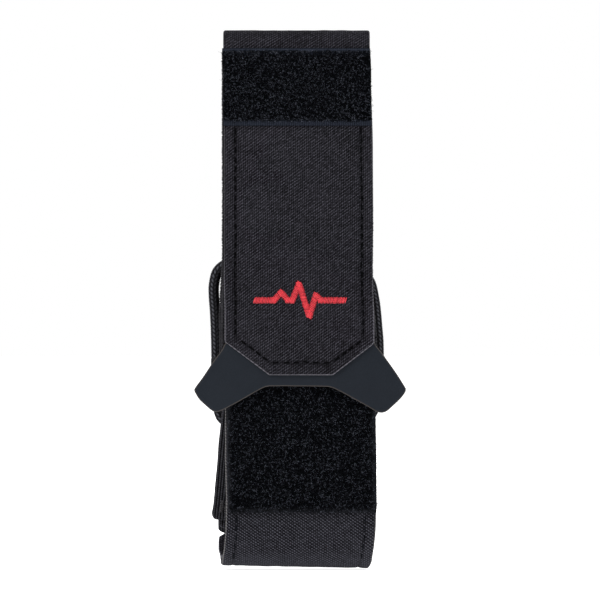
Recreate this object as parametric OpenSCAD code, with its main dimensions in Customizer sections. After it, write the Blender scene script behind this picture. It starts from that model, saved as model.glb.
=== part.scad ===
// Folded limb tourniquet held in a wrap-around quick-release carrier.
// Millimetres. Origin: centre of the carrier's flat back face.
// +X across the band (right, seen from the front), +Z up along the band.
// The front faces -Y, and every "depth" or "_lvl" is measured forward from the back face.

/* [Carrier] */
// Finished width of the carrier band
band_w = 40; // [38:0.5:44]
// Outside height of the carrier, fold to fold
pack_len = 143.4; // [140:0.2:154]
// Thickness of the outer band webbing
band_t = 1.2; // [1:0.05:1.3]
// Outside radius of the upper fold
top_r = 5; // [4:0.25:6]
// Outside radius of the lower fold
bot_r = 9; // [8:0.25:10]

/* [Flap] */
// How far the flap tip reaches below the part's centre
flap_tip = 20.3; // [18:0.1:22]
// Half width of the flat flap tip
tip_half = 8.4; // [7:0.1:10]
// Height of the corner cuts at the flap tip
tip_cut = 8.8; // [7:0.1:10]
// Height of the pile strip across the top of the flap
top_pile_h = 20; // [16:0.5:25]

/* [Pull tab] */
// Half width of the pull tab across its wing tips
tab_half = 28.9; // [26:0.1:31]
// How far the wings hang below the part's centre
tab_drop = 31; // [30:0.1:33]
// Corner radius of the wings
tab_r = 2.2; // [1:0.1:2.4]

/* [Mark] */
// Stroke width of the satin-stitched pulse mark
mark_w = 1.7; // [1.2:0.1:2]
// Height of the pulse mark
mark_h = 10; // [7:0.5:12]

/* [Pocket] */
// How far the pocket panel reaches above the part's centre
pocket_rise = 18; // [10:1:20]
// Lower edge of the pocket pile strip, below the part's centre
pile_low = 56.8; // [52:0.2:58]

/* [Retention cord] */
// Diameter of the elastic cord
cord_d = 2.8; // [2:0.1:2.8]
// Height of the cord ring
cord_h = 41.5; // [34:0.5:44]

/* [Tourniquet] */
// Width of the tourniquet strap
strap_w = 38; // [36:0.5:38]
// Thickness of the tourniquet strap
strap_t = 1.1; // [0.9:0.05:1.1]
// Lean of the visible strap end in degrees
tail_lean = 5.2; // [0:0.2:6]
// Length of the windlass rod
rod_len = 103; // [90:1:103]
// Diameter of the windlass rod
rod_d = 7; // [6:0.1:7]
// Width of the inner ribbon at the windlass
ribbon_w = 24; // [18:1:24]

/* [Stitching] */
// Pitch of the lockstitch rows
stitch_pitch = 2.8; // [2.4:0.1:4]
// Length of one visible stitch
stitch_len = 2; // [1.4:0.1:2.2]
// Width of one visible stitch
stitch_w = 0.5; // [0.3:0.05:0.7]

/* [Hidden] */
$fn = 96;
half_w = band_w / 2;
top_z = pack_len / 2;
fold_z = top_z - top_r;   // where the flat band meets the upper fold
sole_z = bot_r - top_z;   // where the flat band meets the lower fold
flap_front = 27;
pocket_front = 22;
ply_gap = 0.05;           // clearance between touching plies
hinge_gap = 0.05;         // clearance between the wrap and the panels it carries
stitch_gap = 0.02;        // clearance under the thread
thread_t = 0.24;
seam = band_t + ply_gap;  // back of the plies sewn to the rear band

// ---------- helpers ----------

// A flat outline drawn in (x, z), thickened forward from a depth.
module slab(back, thick)
  translate([0, -back, 0]) rotate([90, 0, 0]) linear_extrude(height = thick) children();

// A side profile drawn in (depth, z), carried across the width.
module across(x0, x1)
  translate([x0, 0, 0]) mirror([0, 1, 0]) rotate([90, 0, 90])
    linear_extrude(height = x1 - x0) children();

// A left and right box, mirrored about x = 0, whose near sides are at +-inner.
module box_pair(inner, front, z, size)
  for (side = [-1, 1])
    translate([side > 0 ? inner : -inner - size[0], -front, z]) cube(size);

module rect(x0, y0, x1, y1) translate([x0, y0]) square([x1 - x0, y1 - y0]);

// Quarter ring, in the quadrant named by the signs side_x and side_y.
module quarter(x, y, outer_r, inner_r, side_x, side_y)
  translate([x, y]) intersection() {
    difference() {
      circle(r = outer_r);
      circle(r = inner_r);
    }
    translate([side_x > 0 ? 0 : -outer_r - 1, side_y > 0 ? 0 : -outer_r - 1])
      square(outer_r + 1);
  }

function unit(v) = v / norm(v);

// Two tangent points and the centre of the arc that rounds corner i.
function corner(points, r, i) =
  let (count = len(points),
       before = unit(points[(i + count - 1) % count] - points[i]),
       after = unit(points[(i + 1) % count] - points[i]),
       half_angle = acos(before * after) / 2)
  [points[i] + before * r / tan(half_angle),
   points[i] + after * r / tan(half_angle),
   points[i] + unit(before + after) * r / sin(half_angle)];

// Polygon whose outward corners with a radius above zero are true arcs.
module rounded(points, radii) {
  polygon([for (i = [0 : len(points) - 1])
    let (arc = corner(points, radii[i], i))
    each (radii[i] > 0 ? [arc[0], arc[1]] : [points[i]])]);
  for (i = [0 : len(points) - 1])
    if (radii[i] > 0) translate(corner(points, radii[i], i)[2]) circle(r = radii[i]);
}

module rounded_rect(x0, y0, x1, y1, r)
  rounded([[x0, y0], [x1, y0], [x1, y1], [x0, y1]], [r, r, r, r]);

// Places children midway from start to end, turned along that line.
function heading(start, end) = atan2(end[1] - start[1], end[0] - start[0]);

// A row of separate stitches, in (x, z).
module stitch_row(start, end) {
  run = norm(end - start);
  count = max(1, floor(run / stitch_pitch));
  for (i = [0 : count - 1])
    translate(start + (end - start) * (i + 0.5) / count) rotate(heading(start, end))
      square([min(stitch_len, run / count - 0.3), stitch_w], center = true);
}

// ---------- carrier: the fixed body ----------

// Up the back, over the upper fold to the flap, under the lower fold to the pocket.
module wrap_profile() {
  rect(0, sole_z, band_t, fold_z);
  rect(top_r, top_z - band_t, flap_front - top_r, top_z);
  rect(bot_r, -top_z, pocket_front - bot_r, band_t - top_z);
  quarter(top_r, fold_z, top_r, top_r - band_t, -1, 1);
  quarter(flap_front - top_r, fold_z, top_r, top_r - band_t, 1, 1);
  quarter(bot_r, sole_z, bot_r, bot_r - band_t, -1, -1);
  quarter(pocket_front - bot_r, sole_z, bot_r, bot_r - band_t, 1, -1);
}

module band_wrap() color([0.17, 0.165, 0.185]) across(-half_w, half_w) wrap_profile();

// Cord ring, by its centreline; it stands out further on the left.
cord_lvl = 2.7;
cord_r = cord_d / 2;
cord_left = -(half_w + 2.6);
cord_right = half_w + 0.4;
cord_top = 8.5;
cord_bot = cord_top - cord_h;
cord_bend_r = 5;
ferrule_half = 4;   // half the gap in the top run that the ferrule fills

module cord_bend(x, z, start_angle)
  translate([x, -cord_lvl, z]) rotate([90, 0, 0]) rotate(start_angle)
    rotate_extrude(angle = 90) translate([cord_bend_r, 0]) circle(r = cord_r);

// Straight crosswise length.
module cord_run(x0, x1, z)
  translate([x0, -cord_lvl, z]) rotate([0, 90, 0]) cylinder(r = cord_r, h = x1 - x0);

module retention_cord() color([0.10, 0.10, 0.11]) {
  x0 = cord_left + cord_bend_r;
  x1 = cord_right - cord_bend_r;
  z0 = cord_bot + cord_bend_r;
  z1 = cord_top - cord_bend_r;
  cord_bend(x1, z1, 0);
  cord_bend(x0, z1, 90);
  cord_bend(x0, z0, 180);
  cord_bend(x1, z0, 270);
  for (x = [cord_left, cord_right])
    translate([x, -cord_lvl, z0]) cylinder(r = cord_r, h = cord_h - 2 * cord_bend_r);
  cord_run(x0, x1, cord_bot);
  cord_run(x0, -ferrule_half, cord_top);
  cord_run(ferrule_half, x1, cord_top);
}

module cord_ferrule() color([0.2, 0.2, 0.21])
  cord_run(-ferrule_half + 0.05, ferrule_half - 0.05, cord_top);

// Lining that bridges over the cord, with a sewn flange above and below.
lining_t = 0.8;
tunnel_lvl = 4.15;
tunnel_top = cord_top + 3.5;
tunnel_bot = cord_bot - 3.5;
top_flange = 8;
bot_flange = 7;

module tunnel_lining() color([0.15, 0.15, 0.165]) across(-half_w + 0.3, half_w - 0.3) {
  front = tunnel_lvl + lining_t;
  rect(tunnel_lvl, tunnel_bot, front, tunnel_top);
  rect(seam, tunnel_top, front, tunnel_top + lining_t);
  rect(seam, tunnel_bot - lining_t, front, tunnel_bot);
  rect(seam, tunnel_top, seam + lining_t, tunnel_top + top_flange);
  rect(seam, tunnel_bot - bot_flange, seam + lining_t, tunnel_bot);
}

module tunnel_stitching() color([0.06, 0.06, 0.07])
  slab(seam + lining_t + stitch_gap, thread_t)
    for (z = [tunnel_top + 3, tunnel_top + 6, tunnel_bot - 3, tunnel_bot - 5])
      stitch_row([-half_w + 3, z], [half_w - 3, z]);

// Inner rear ply that follows the lower fold and stands out past the band's left edge.
tail_t = 0.95;
tail_r = bot_r - seam;
tail_top = tunnel_bot - bot_flange - 0.6;
tail_left = -half_w - 2.2;
tail_right = half_w - 2;

module rear_tail() color([0.16, 0.16, 0.18]) intersection() {
  across(tail_left, tail_right) {
    rect(seam, sole_z, seam + tail_t, tail_top);
    quarter(bot_r, sole_z, tail_r, tail_r - tail_t, -1, -1);
  }
  // outline seen from the front, (x, z): only the lower left stands out
  slab(0, 20) polygon([
    [tail_left, sole_z + 5], [tail_left, sole_z - 2], [-half_w - 0.9, -top_z],
    [tail_right, -top_z], [tail_right, tail_top], [-half_w + 1, tail_top],
    [-half_w + 1, sole_z + 9]]);
}

// ---------- flap ----------

cut_z = tip_cut - flap_tip;   // top of the corner cuts
cut_shift = 0.45;             // shift of the cut's ends per unit of inset
flap_t = 0.9;
lining_back = 24.4;
filler_back = 25;
filler_low = -5.6;
hook_back = 23.45;
pile_top = fold_z - 0.5;
pile_bot = pile_top - top_pile_h;

module tongue(inset) {
  shift = inset * cut_shift;
  side = half_w - inset;
  top = fold_z - hinge_gap;
  tip = tip_half - shift;
  polygon([[-side, top], [side, top], [side, cut_z + shift],
           [tip, inset - flap_tip], [-tip, inset - flap_tip], [-side, cut_z + shift]]);
}

module flap_face() color([0.17, 0.165, 0.185]) slab(flap_front - flap_t, flap_t) tongue(0);

// A full back ply, and a filler between it and the face that ends above the pull tab.
module flap_lining() color([0.14, 0.14, 0.16]) {
  slab(lining_back, 0.65) tongue(0.3);
  slab(filler_back, flap_front - flap_t - ply_gap - filler_back) intersection() {
    tongue(0.3);
    rect(-half_w, filler_low, half_w, top_z);
  }
}

module flap_hook_patch() color([0.09, 0.09, 0.10]) slab(hook_back, 0.9)
  intersection() {
    tongue(3);
    rect(-half_w, -half_w, half_w, pocket_rise);
  }

module flap_loop_patch() color([0.05, 0.055, 0.065])
  slab(flap_front + ply_gap, 1.25) rect(-half_w - 0.2, pile_bot, half_w + 0.2, pile_top);

// Rows down both sides, along both corner cuts and across the tip.
module flap_stitching() color([0.04, 0.04, 0.05])
  slab(flap_front + stitch_gap, thread_t) {
    inset = 3.2;
    shift = inset * cut_shift;
    row_z = inset - flap_tip;
    for (side = [-1, 1]) {
      x = side * (half_w - inset);
      stitch_row([x, pile_bot - 0.5], [x, cut_z + shift + 0.8]);
      stitch_row([x, cut_z + shift - 0.5], [side * (tip_half - shift + 0.8), row_z]);
    }
    stitch_row([-tip_half + 1.2, row_z], [tip_half - 1.2, row_z]);
  }

tab_back = 25.1;
tab_t = 0.95;
tab_shoulder = 20.2;   // half width where the tab leaves the flap
tab_top = -6.4;
crotch_half = 8;       // flat lower edge between the wings
crotch_z = -23.2;

module tab_outline() {
  shoulder_z = cut_z - 0.4;
  wing_z = shoulder_z - 12.2;
  toe = tab_half - 6.3;
  rounded([[-tab_shoulder + 6, tab_top], [-tab_shoulder, shoulder_z],
           [-tab_half, wing_z], [-toe, -tab_drop],
           [-crotch_half, crotch_z], [crotch_half, crotch_z],
           [toe, -tab_drop], [tab_half, wing_z],
           [tab_shoulder, shoulder_z], [tab_shoulder - 6, tab_top]],
          [0, 0, tab_r, tab_r, 0, 0, tab_r, tab_r, 0, 0]);
}

module pull_tab() color([0.155, 0.165, 0.19]) slab(tab_back, tab_t) tab_outline();

// Pulse line, drawn as one continuous stroke with round joints.
peak = (mark_h - mark_w) / 2;
// centreline, (x, z)
pulse = [[-11.6, 0], [-6.6, 0], [-4.9, peak * 0.45], [-3.2, 0], [-1.9, 0], [-0.2, peak],
         [2.2, -peak], [3.9, peak * 0.3], [5.1, 0], [11.6, 0]];

module stroke(start, end)
  translate((start + end) / 2) rotate(heading(start, end))
    square([norm(end - start), mark_w], center = true);

module flap_mark() color([0.78, 0.16, 0.20]) slab(flap_front + stitch_gap, 0.48) {
  for (i = [0 : len(pulse) - 2]) stroke(pulse[i], pulse[i + 1]);
  for (point = pulse) translate(point) circle(r = mark_w / 2 + 0.06);
}

// ---------- pocket ----------

panel_t = 1;
pocket_pile_t = 1.35;

module pocket_panel() color([0.19, 0.185, 0.205])
  slab(pocket_front - panel_t, panel_t)
    rounded_rect(-half_w + 0.2, sole_z + hinge_gap, half_w - 0.2, pocket_rise + 2, 0.4);

module pocket_loop_patch() color([0.05, 0.055, 0.065])
  slab(pocket_front + ply_gap, pocket_pile_t)
    rect(-half_w + 0.1, -pile_low, half_w - 0.1, pocket_rise);

// Rows up both sides and across the bottom of the pile strip.
module pocket_stitching() color([0.04, 0.04, 0.05])
  slab(pocket_front + ply_gap + pocket_pile_t + stitch_gap, 0.2) {
    for (x = [2.6 - half_w, half_w - 2.6]) stitch_row([x, 3 - pile_low], [x, -33]);
    stitch_row([-half_w + 3.4, 1.6 - pile_low], [half_w - 3.4, 1.6 - pile_low]);
  }

// ---------- tourniquet ----------

strap_x = -1.6;
strap_left = strap_x - strap_w / 2;
strap_right = strap_x + strap_w / 2;
strap_lvl = [5.1, 6.35, 8.8];   // backs of the three layers
strap_bot = -60.4;
strap_top = 60;

// Half-round fold joining layer i to the next, below (-1) or above (1).
module strap_return(i, z, side_z) {
  r = (strap_lvl[i + 1] + strap_t - strap_lvl[i]) / 2;
  for (side = [-1, 1]) quarter(strap_lvl[i] + r, z, r, r - strap_t, side, side_z);
}

module strap_stack() color([0.13, 0.13, 0.145]) across(strap_left, strap_right) {
  for (back = strap_lvl) rect(back, strap_bot, back + strap_t, strap_top);
  strap_return(0, strap_bot, -1);
  strap_return(1, strap_top, 1);
}

// Leaning strap end, drawn about its pivot.
tail_lvl = 9.95;
tail_pivot = [-3, -45];

module lean() translate(tail_pivot) rotate(-tail_lean) children();

module strap_tail() color([0.14, 0.14, 0.155]) slab(tail_lvl, strap_t)
  lean() rounded_rect(-strap_w / 2, -16.2, strap_w / 2, 35, 2.4);

module strap_bartacks() color([0.05, 0.05, 0.06])
  slab(tail_lvl + strap_t + stitch_gap, 0.22)
    lean() for (i = [0 : 3]) translate([0, -13.8 + i * 0.7])
      square([strap_w - 5, 0.4], center = true);

plate_lvl = 11.35;
plate_t = 1;
hole_r = 13.5;
rail_bot = -65;
rail_top = -53;
rail_front = 14.2;

// Plate with a round hole and two rails whose lips turn inward.
module base_plate() color([0.08, 0.08, 0.09]) {
  rail_h = rail_top - rail_bot;
  difference() {
    slab(plate_lvl, plate_t) rounded_rect(-18, -66, 18, 34, 3);
    translate([0, -plate_lvl + 1, 0]) rotate([90, 0, 0])
      cylinder(r = hole_r, h = plate_t + 2);
  }
  box_pair(7.7, rail_front, rail_bot, [1.5, rail_front - plate_lvl - 0.5, rail_h]);
  box_pair(6.4, rail_front, rail_bot, [1.6, 0.8, rail_h]);
}

buckle_z = -28.5;
buckle_h = 13;
crossbar_h = 2.2;

// Side posts clear of the strap edges, joined by two crossbars.
module buckle_frame() color([0.09, 0.09, 0.10]) {
  for (x = [strap_left - 3.3, strap_right + 0.3])
    translate([x, -9.85, buckle_z]) cube([3, 4.65, buckle_h]);
  for (z = [buckle_z, buckle_z + buckle_h - crossbar_h])
    translate([strap_left - 1, -8.65, z]) cube([strap_w + 2, 1, crossbar_h]);
}

module buckle_bar() color([0.10, 0.10, 0.11])
  translate([strap_left + 0.2, -8.6, -24.9]) cube([strap_w - 0.4, 0.9, 5.4]);

tag_lvl = 9.95;

module time_tag() color([0.82, 0.82, 0.80])
  slab(tag_lvl, 0.45) rounded_rect(strap_left + 2, 36.5, strap_right - 2, 57, 1);

// ---------- windlass ----------

rod_lvl = 15.95;    // rod axis
rod_half = rod_len / 2;
rod_r = rod_d / 2;
cap_seat = 8;       // thinned length at each rod end
cap_h = cap_seat - 0.1;
groove_w = 1.2;

// Thin core in a full barrel, slotted for the ribbon, with four grooves each way.
module windlass_rod() color([0.07, 0.07, 0.08]) difference() {
  union() {
    translate([0, -rod_lvl, 0.5 - rod_half]) cylinder(r = rod_r - 0.75, h = rod_len - 1);
    translate([0, -rod_lvl, cap_seat - rod_half])
      cylinder(r = rod_r, h = rod_len - 2 * cap_seat);
  }
  translate([-10, -rod_lvl - 0.6, -ribbon_w / 2 - 0.6]) cube([20, 1.2, ribbon_w + 1.2]);
  for (side = [-1, 1], i = [0 : 3])
    translate([0, -rod_lvl, side * (20 + i * 5) - groove_w / 2]) difference() {
      cylinder(r = rod_r + 1, h = groove_w);
      cylinder(r = rod_r - 0.5, h = groove_w);
    }
}

// Cups over the rod ends.
module rod_end_caps() color([0.12, 0.12, 0.13]) for (flip = [0, 1]) mirror([0, 0, flip])
  translate([0, -rod_lvl, 0]) difference() {
    translate([0, 0, rod_half - cap_h]) cylinder(r = rod_r, h = cap_h);
    translate([0, 0, rod_half - 9]) cylinder(r = rod_r - 0.7, h = 8.55);
  }

ribbon_half = 5;    // half the loop's span in x
ribbon_t = 1;

// Ply through the rod's slot, with two legs back into the plate's hole.
module ribbon_loop() color([0.15, 0.15, 0.165]) {
  front = rod_lvl + ribbon_t / 2;
  low = -ribbon_w / 2;
  translate([-ribbon_half, -front, low]) cube([2 * ribbon_half, ribbon_t, ribbon_w]);
  box_pair(ribbon_half - ribbon_t, front, low,
           [ribbon_t, front - plate_lvl - 0.1, ribbon_w]);
}

keeper_bot = -60;
keeper_half = 6.2;
keeper_wall = 1.8;
foot_bot = -64.5;

// Bridge over the rod's front: two walls, two feet behind the rail lips, a top strap.
module rod_keeper() color([0.11, 0.11, 0.12]) {
  keeper_h = rail_top - keeper_bot;
  inner = keeper_half - keeper_wall;
  box_pair(inner, 20.7, keeper_bot, [keeper_wall, 8.25, keeper_h]);
  box_pair(inner, 13.25, foot_bot, [3.2, 0.8, rail_top - foot_bot]);
  translate([-keeper_half, -20.8, keeper_bot]) cube([2 * keeper_half, 1.2, keeper_h]);
}

// ---------- selection ----------

band_wrap();
tunnel_lining();
tunnel_stitching();
retention_cord();
cord_ferrule();
rear_tail();
flap_face();
flap_lining();
flap_hook_patch();
flap_loop_patch();
flap_stitching();
pull_tab();
flap_mark();
pocket_panel();
pocket_loop_patch();
pocket_stitching();
strap_stack();
strap_tail();
strap_bartacks();
base_plate();
buckle_frame();
buckle_bar();
time_tag();
windlass_rod();
rod_end_caps();
ribbon_loop();
rod_keeper();
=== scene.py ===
"""A fabric carrier holding a folded tourniquet, with a flap above and a pocket below.

It stands upright: x runs to the right as seen from the front, z runs up, and the front faces
-y. Soft pieces are laid out in millimetres as (x, depth, z), where depth runs forward from
the back face at y = 0. The hard CAD parts keep their shape and get moulded finishes.
"""
import math
from collections import namedtuple

import bmesh
import bpy
import numpy as np
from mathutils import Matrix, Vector
from mathutils.geometry import delaunay_2d_cdt


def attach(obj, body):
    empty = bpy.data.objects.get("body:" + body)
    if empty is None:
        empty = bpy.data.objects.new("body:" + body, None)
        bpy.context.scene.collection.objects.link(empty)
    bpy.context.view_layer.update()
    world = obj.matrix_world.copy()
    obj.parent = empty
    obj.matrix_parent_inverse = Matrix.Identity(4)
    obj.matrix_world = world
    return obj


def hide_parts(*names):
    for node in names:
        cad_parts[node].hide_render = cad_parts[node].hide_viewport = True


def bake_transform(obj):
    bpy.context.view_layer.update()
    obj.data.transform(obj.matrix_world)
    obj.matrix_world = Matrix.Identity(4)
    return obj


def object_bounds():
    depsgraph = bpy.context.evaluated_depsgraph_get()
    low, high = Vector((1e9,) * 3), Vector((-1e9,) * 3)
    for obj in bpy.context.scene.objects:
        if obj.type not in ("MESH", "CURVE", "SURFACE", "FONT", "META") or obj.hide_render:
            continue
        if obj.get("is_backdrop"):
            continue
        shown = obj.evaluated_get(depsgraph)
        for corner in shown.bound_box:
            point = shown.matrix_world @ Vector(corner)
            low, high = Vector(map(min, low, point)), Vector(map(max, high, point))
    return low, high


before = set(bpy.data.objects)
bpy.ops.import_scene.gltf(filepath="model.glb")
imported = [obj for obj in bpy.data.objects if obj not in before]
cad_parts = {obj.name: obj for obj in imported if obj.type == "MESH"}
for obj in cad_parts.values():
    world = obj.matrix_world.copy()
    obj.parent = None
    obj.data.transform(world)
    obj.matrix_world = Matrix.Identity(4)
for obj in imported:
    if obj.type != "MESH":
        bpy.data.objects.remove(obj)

MM = 0.001
PI = math.pi
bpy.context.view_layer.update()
shared_rng = np.random.default_rng(7)     # tone of each tube, drawn in building order


# ---------------------------------------------------------------- curves and fields
def smooth(start, end, x):
    """Eases from 0 at start to 1 at end; start may be the larger."""
    t = np.clip((np.asarray(x, float) - start) / (end - start), 0, 1)
    return t * t * (3 - 2 * t)


def bell(distance, width):
    return np.exp(-(distance / width) ** 2)


def round_off(distance, radius):
    """Quarter-round profile: 0 on an edge, 1 from one radius inwards."""
    return np.sqrt(np.clip(1 - (1 - np.clip(distance / radius, 0, 1)) ** 2, 0, 1))


def end_corner(z, end_z, radius):
    """How far a rounded corner draws a side edge in, above a lower end at end_z."""
    rise = np.clip(z - end_z, 0, radius)
    return radius - np.sqrt(np.clip(radius * radius - (radius - rise) ** 2, 0, None))


def waves(seed, count, low, high):
    """A smooth random field of unit size; low and high bound its radians per mm."""
    rng = np.random.default_rng(seed)
    rate = rng.uniform(low, high, count)
    heading = rng.uniform(0, 2 * PI, count)
    phase = rng.uniform(0, 2 * PI, count)

    def field(u, v):
        total = 0
        for i in range(count):
            along = np.cos(heading[i]) * u + np.sin(heading[i]) * v
            total = total + np.sin(rate[i] * along + phase[i])
        return total / math.sqrt(count)

    return field


def arc(centre_depth, centre_z, radius, start, end, count):
    """Points on an arc, with its angles in degrees."""
    angle = np.radians(np.linspace(start, end, count))
    return np.stack([centre_depth + radius * np.cos(angle), centre_z + radius * np.sin(angle)], 1)


def line(start, end, step):
    count = max(2, int(math.hypot(end[0] - start[0], end[1] - start[1]) / step) + 1)
    t = np.linspace(0, 1, count)[:, None]
    return np.array(start)[None] * (1 - t) + np.array(end)[None] * t


def join(*parts):
    """Chains paths; each part starts where the one before ends, so its first point drops."""
    return np.concatenate([parts[0]] + [part[1:] for part in parts[1:]])


def run_along(points):
    """Distance travelled along a path at each of its points."""
    return np.concatenate([[0], np.cumsum(np.hypot(*np.diff(points, axis=0).T))])


def refine_ends(path):
    """Adds samples near both ends of a path so that the ends can be rounded."""
    run = run_along(path)
    extra = np.array([0.04, 0.12, 0.25, 0.42, 0.7])
    wanted = np.unique(np.concatenate([run, extra, run[-1] - extra]))
    kept = [wanted[0]]
    for value in wanted[1:]:
        if value - kept[-1] > 1e-4:
            kept.append(value)
    return np.stack([np.interp(kept, run, path[:, 0]), np.interp(kept, run, path[:, 1])], 1)


def closed_spline(points, per_span):
    """Catmull-Rom curve through a closed list of points."""
    pts = np.array(points, float)
    count = len(pts)
    curve = []
    for i in range(count):
        before, here, after, beyond = (pts[i - 1], pts[i], pts[(i + 1) % count],
                                       pts[(i + 2) % count])
        for t in np.linspace(0, 1, per_span, endpoint=False):
            curve.append(0.5 * ((2 * here) + (-before + after) * t
                                + (2 * before - 5 * here + 4 * after - beyond) * t ** 2
                                + (-before + 3 * here - 3 * after + beyond) * t ** 3))
    return np.array(curve)


def densify(outline, step):
    points = []
    for i in range(len(outline)):
        start, end = outline[i], outline[(i + 1) % len(outline)]
        count = max(1, int(np.linalg.norm(end - start) / step))
        for k in range(count):
            points.append(start + (end - start) * k / count)
    return np.array(points)


def outline_distance(x, z, outline):
    best = np.full(x.shape, 1e9)
    for i in range(len(outline)):
        start = outline[i]
        side = outline[(i + 1) % len(outline)] - start
        t = ((x - start[0]) * side[0] + (z - start[1]) * side[1]) / (side @ side + 1e-12)
        t = np.clip(t, 0, 1)
        best = np.minimum(best, np.hypot(x - start[0] - t * side[0], z - start[1] - t * side[1]))
    return best


def inside(x, z, outline):
    result = np.zeros(x.shape, bool)
    for i in range(len(outline)):
        x1, z1 = outline[i]
        x0, z0 = outline[i - 1]
        crossing_x = (x0 - x1) * (z - z1) / (z0 - z1 + 1e-15) + x1
        result ^= ((z1 > z) != (z0 > z)) & (x < crossing_x)
    return result


# ---------------------------------------------------------------- meshes
def build(name, verts, quads, uv, attributes, material, tris=()):
    """Makes a mesh object from (x, depth, z) points in mm."""
    verts = np.asarray(verts, float)
    world = np.stack([verts[:, 0], -verts[:, 1], verts[:, 2]], 1) * MM
    quads = np.asarray(quads, np.int32).reshape(-1, 4)
    tris = np.asarray(tris, np.int32).reshape(-1, 3)
    loops = np.concatenate([quads.ravel(), tris.ravel()])
    starts = np.concatenate([np.arange(len(quads)) * 4, len(quads) * 4 + np.arange(len(tris)) * 3])
    mesh = bpy.data.meshes.new(name)
    mesh.vertices.add(len(verts))
    mesh.vertices.foreach_set("co", world.astype(np.float32).ravel())
    mesh.loops.add(len(loops))
    mesh.loops.foreach_set("vertex_index", loops)
    mesh.polygons.add(len(starts))
    mesh.polygons.foreach_set("loop_start", starts.astype(np.int32))
    mesh.polygons.foreach_set("use_smooth", np.full(len(starts), True))
    layer = mesh.uv_layers.new(name="UVMap")
    layer.data.foreach_set("uv", np.asarray(uv, np.float32)[loops].ravel())
    for key, values in attributes.items():
        attribute = mesh.attributes.new(key, "FLOAT", "POINT")
        attribute.data.foreach_set("value", np.asarray(values, np.float32))
    mesh.update(calc_edges=True)
    mesh.validate()
    piece = bpy.data.objects.new(name, mesh)
    bpy.context.scene.collection.objects.link(piece)
    mesh.materials.append(material)
    return piece


def fix_normals(piece):
    """Merges coincident points and turns every face outwards."""
    bm = bmesh.new()
    bm.from_mesh(piece.data)
    bmesh.ops.remove_doubles(bm, verts=bm.verts, dist=2e-6)
    bmesh.ops.recalc_face_normals(bm, faces=bm.faces)
    bm.to_mesh(piece.data)
    bm.free()


def closed_quads(rows, around):
    """Quads of a grid whose fast direction closes on itself."""
    i = np.arange(rows - 1)[:, None]
    j = np.arange(around)[None, :]
    after = (j + 1) % around
    quads = np.stack([i * around + j, i * around + after,
                      (i + 1) * around + after, (i + 1) * around + j], -1)
    return quads.reshape(-1, 4)


# Where a ribbon's edges and thickness are evaluated: distance along its path, depth and z.
Station = namedtuple("Station", "run depth z")
# Distances of the close columns from each side edge of a ribbon.
EDGE_COLUMNS = np.array([0, 0.05, 0.16, 0.3, 0.45, 0.7, 1.1])


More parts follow.
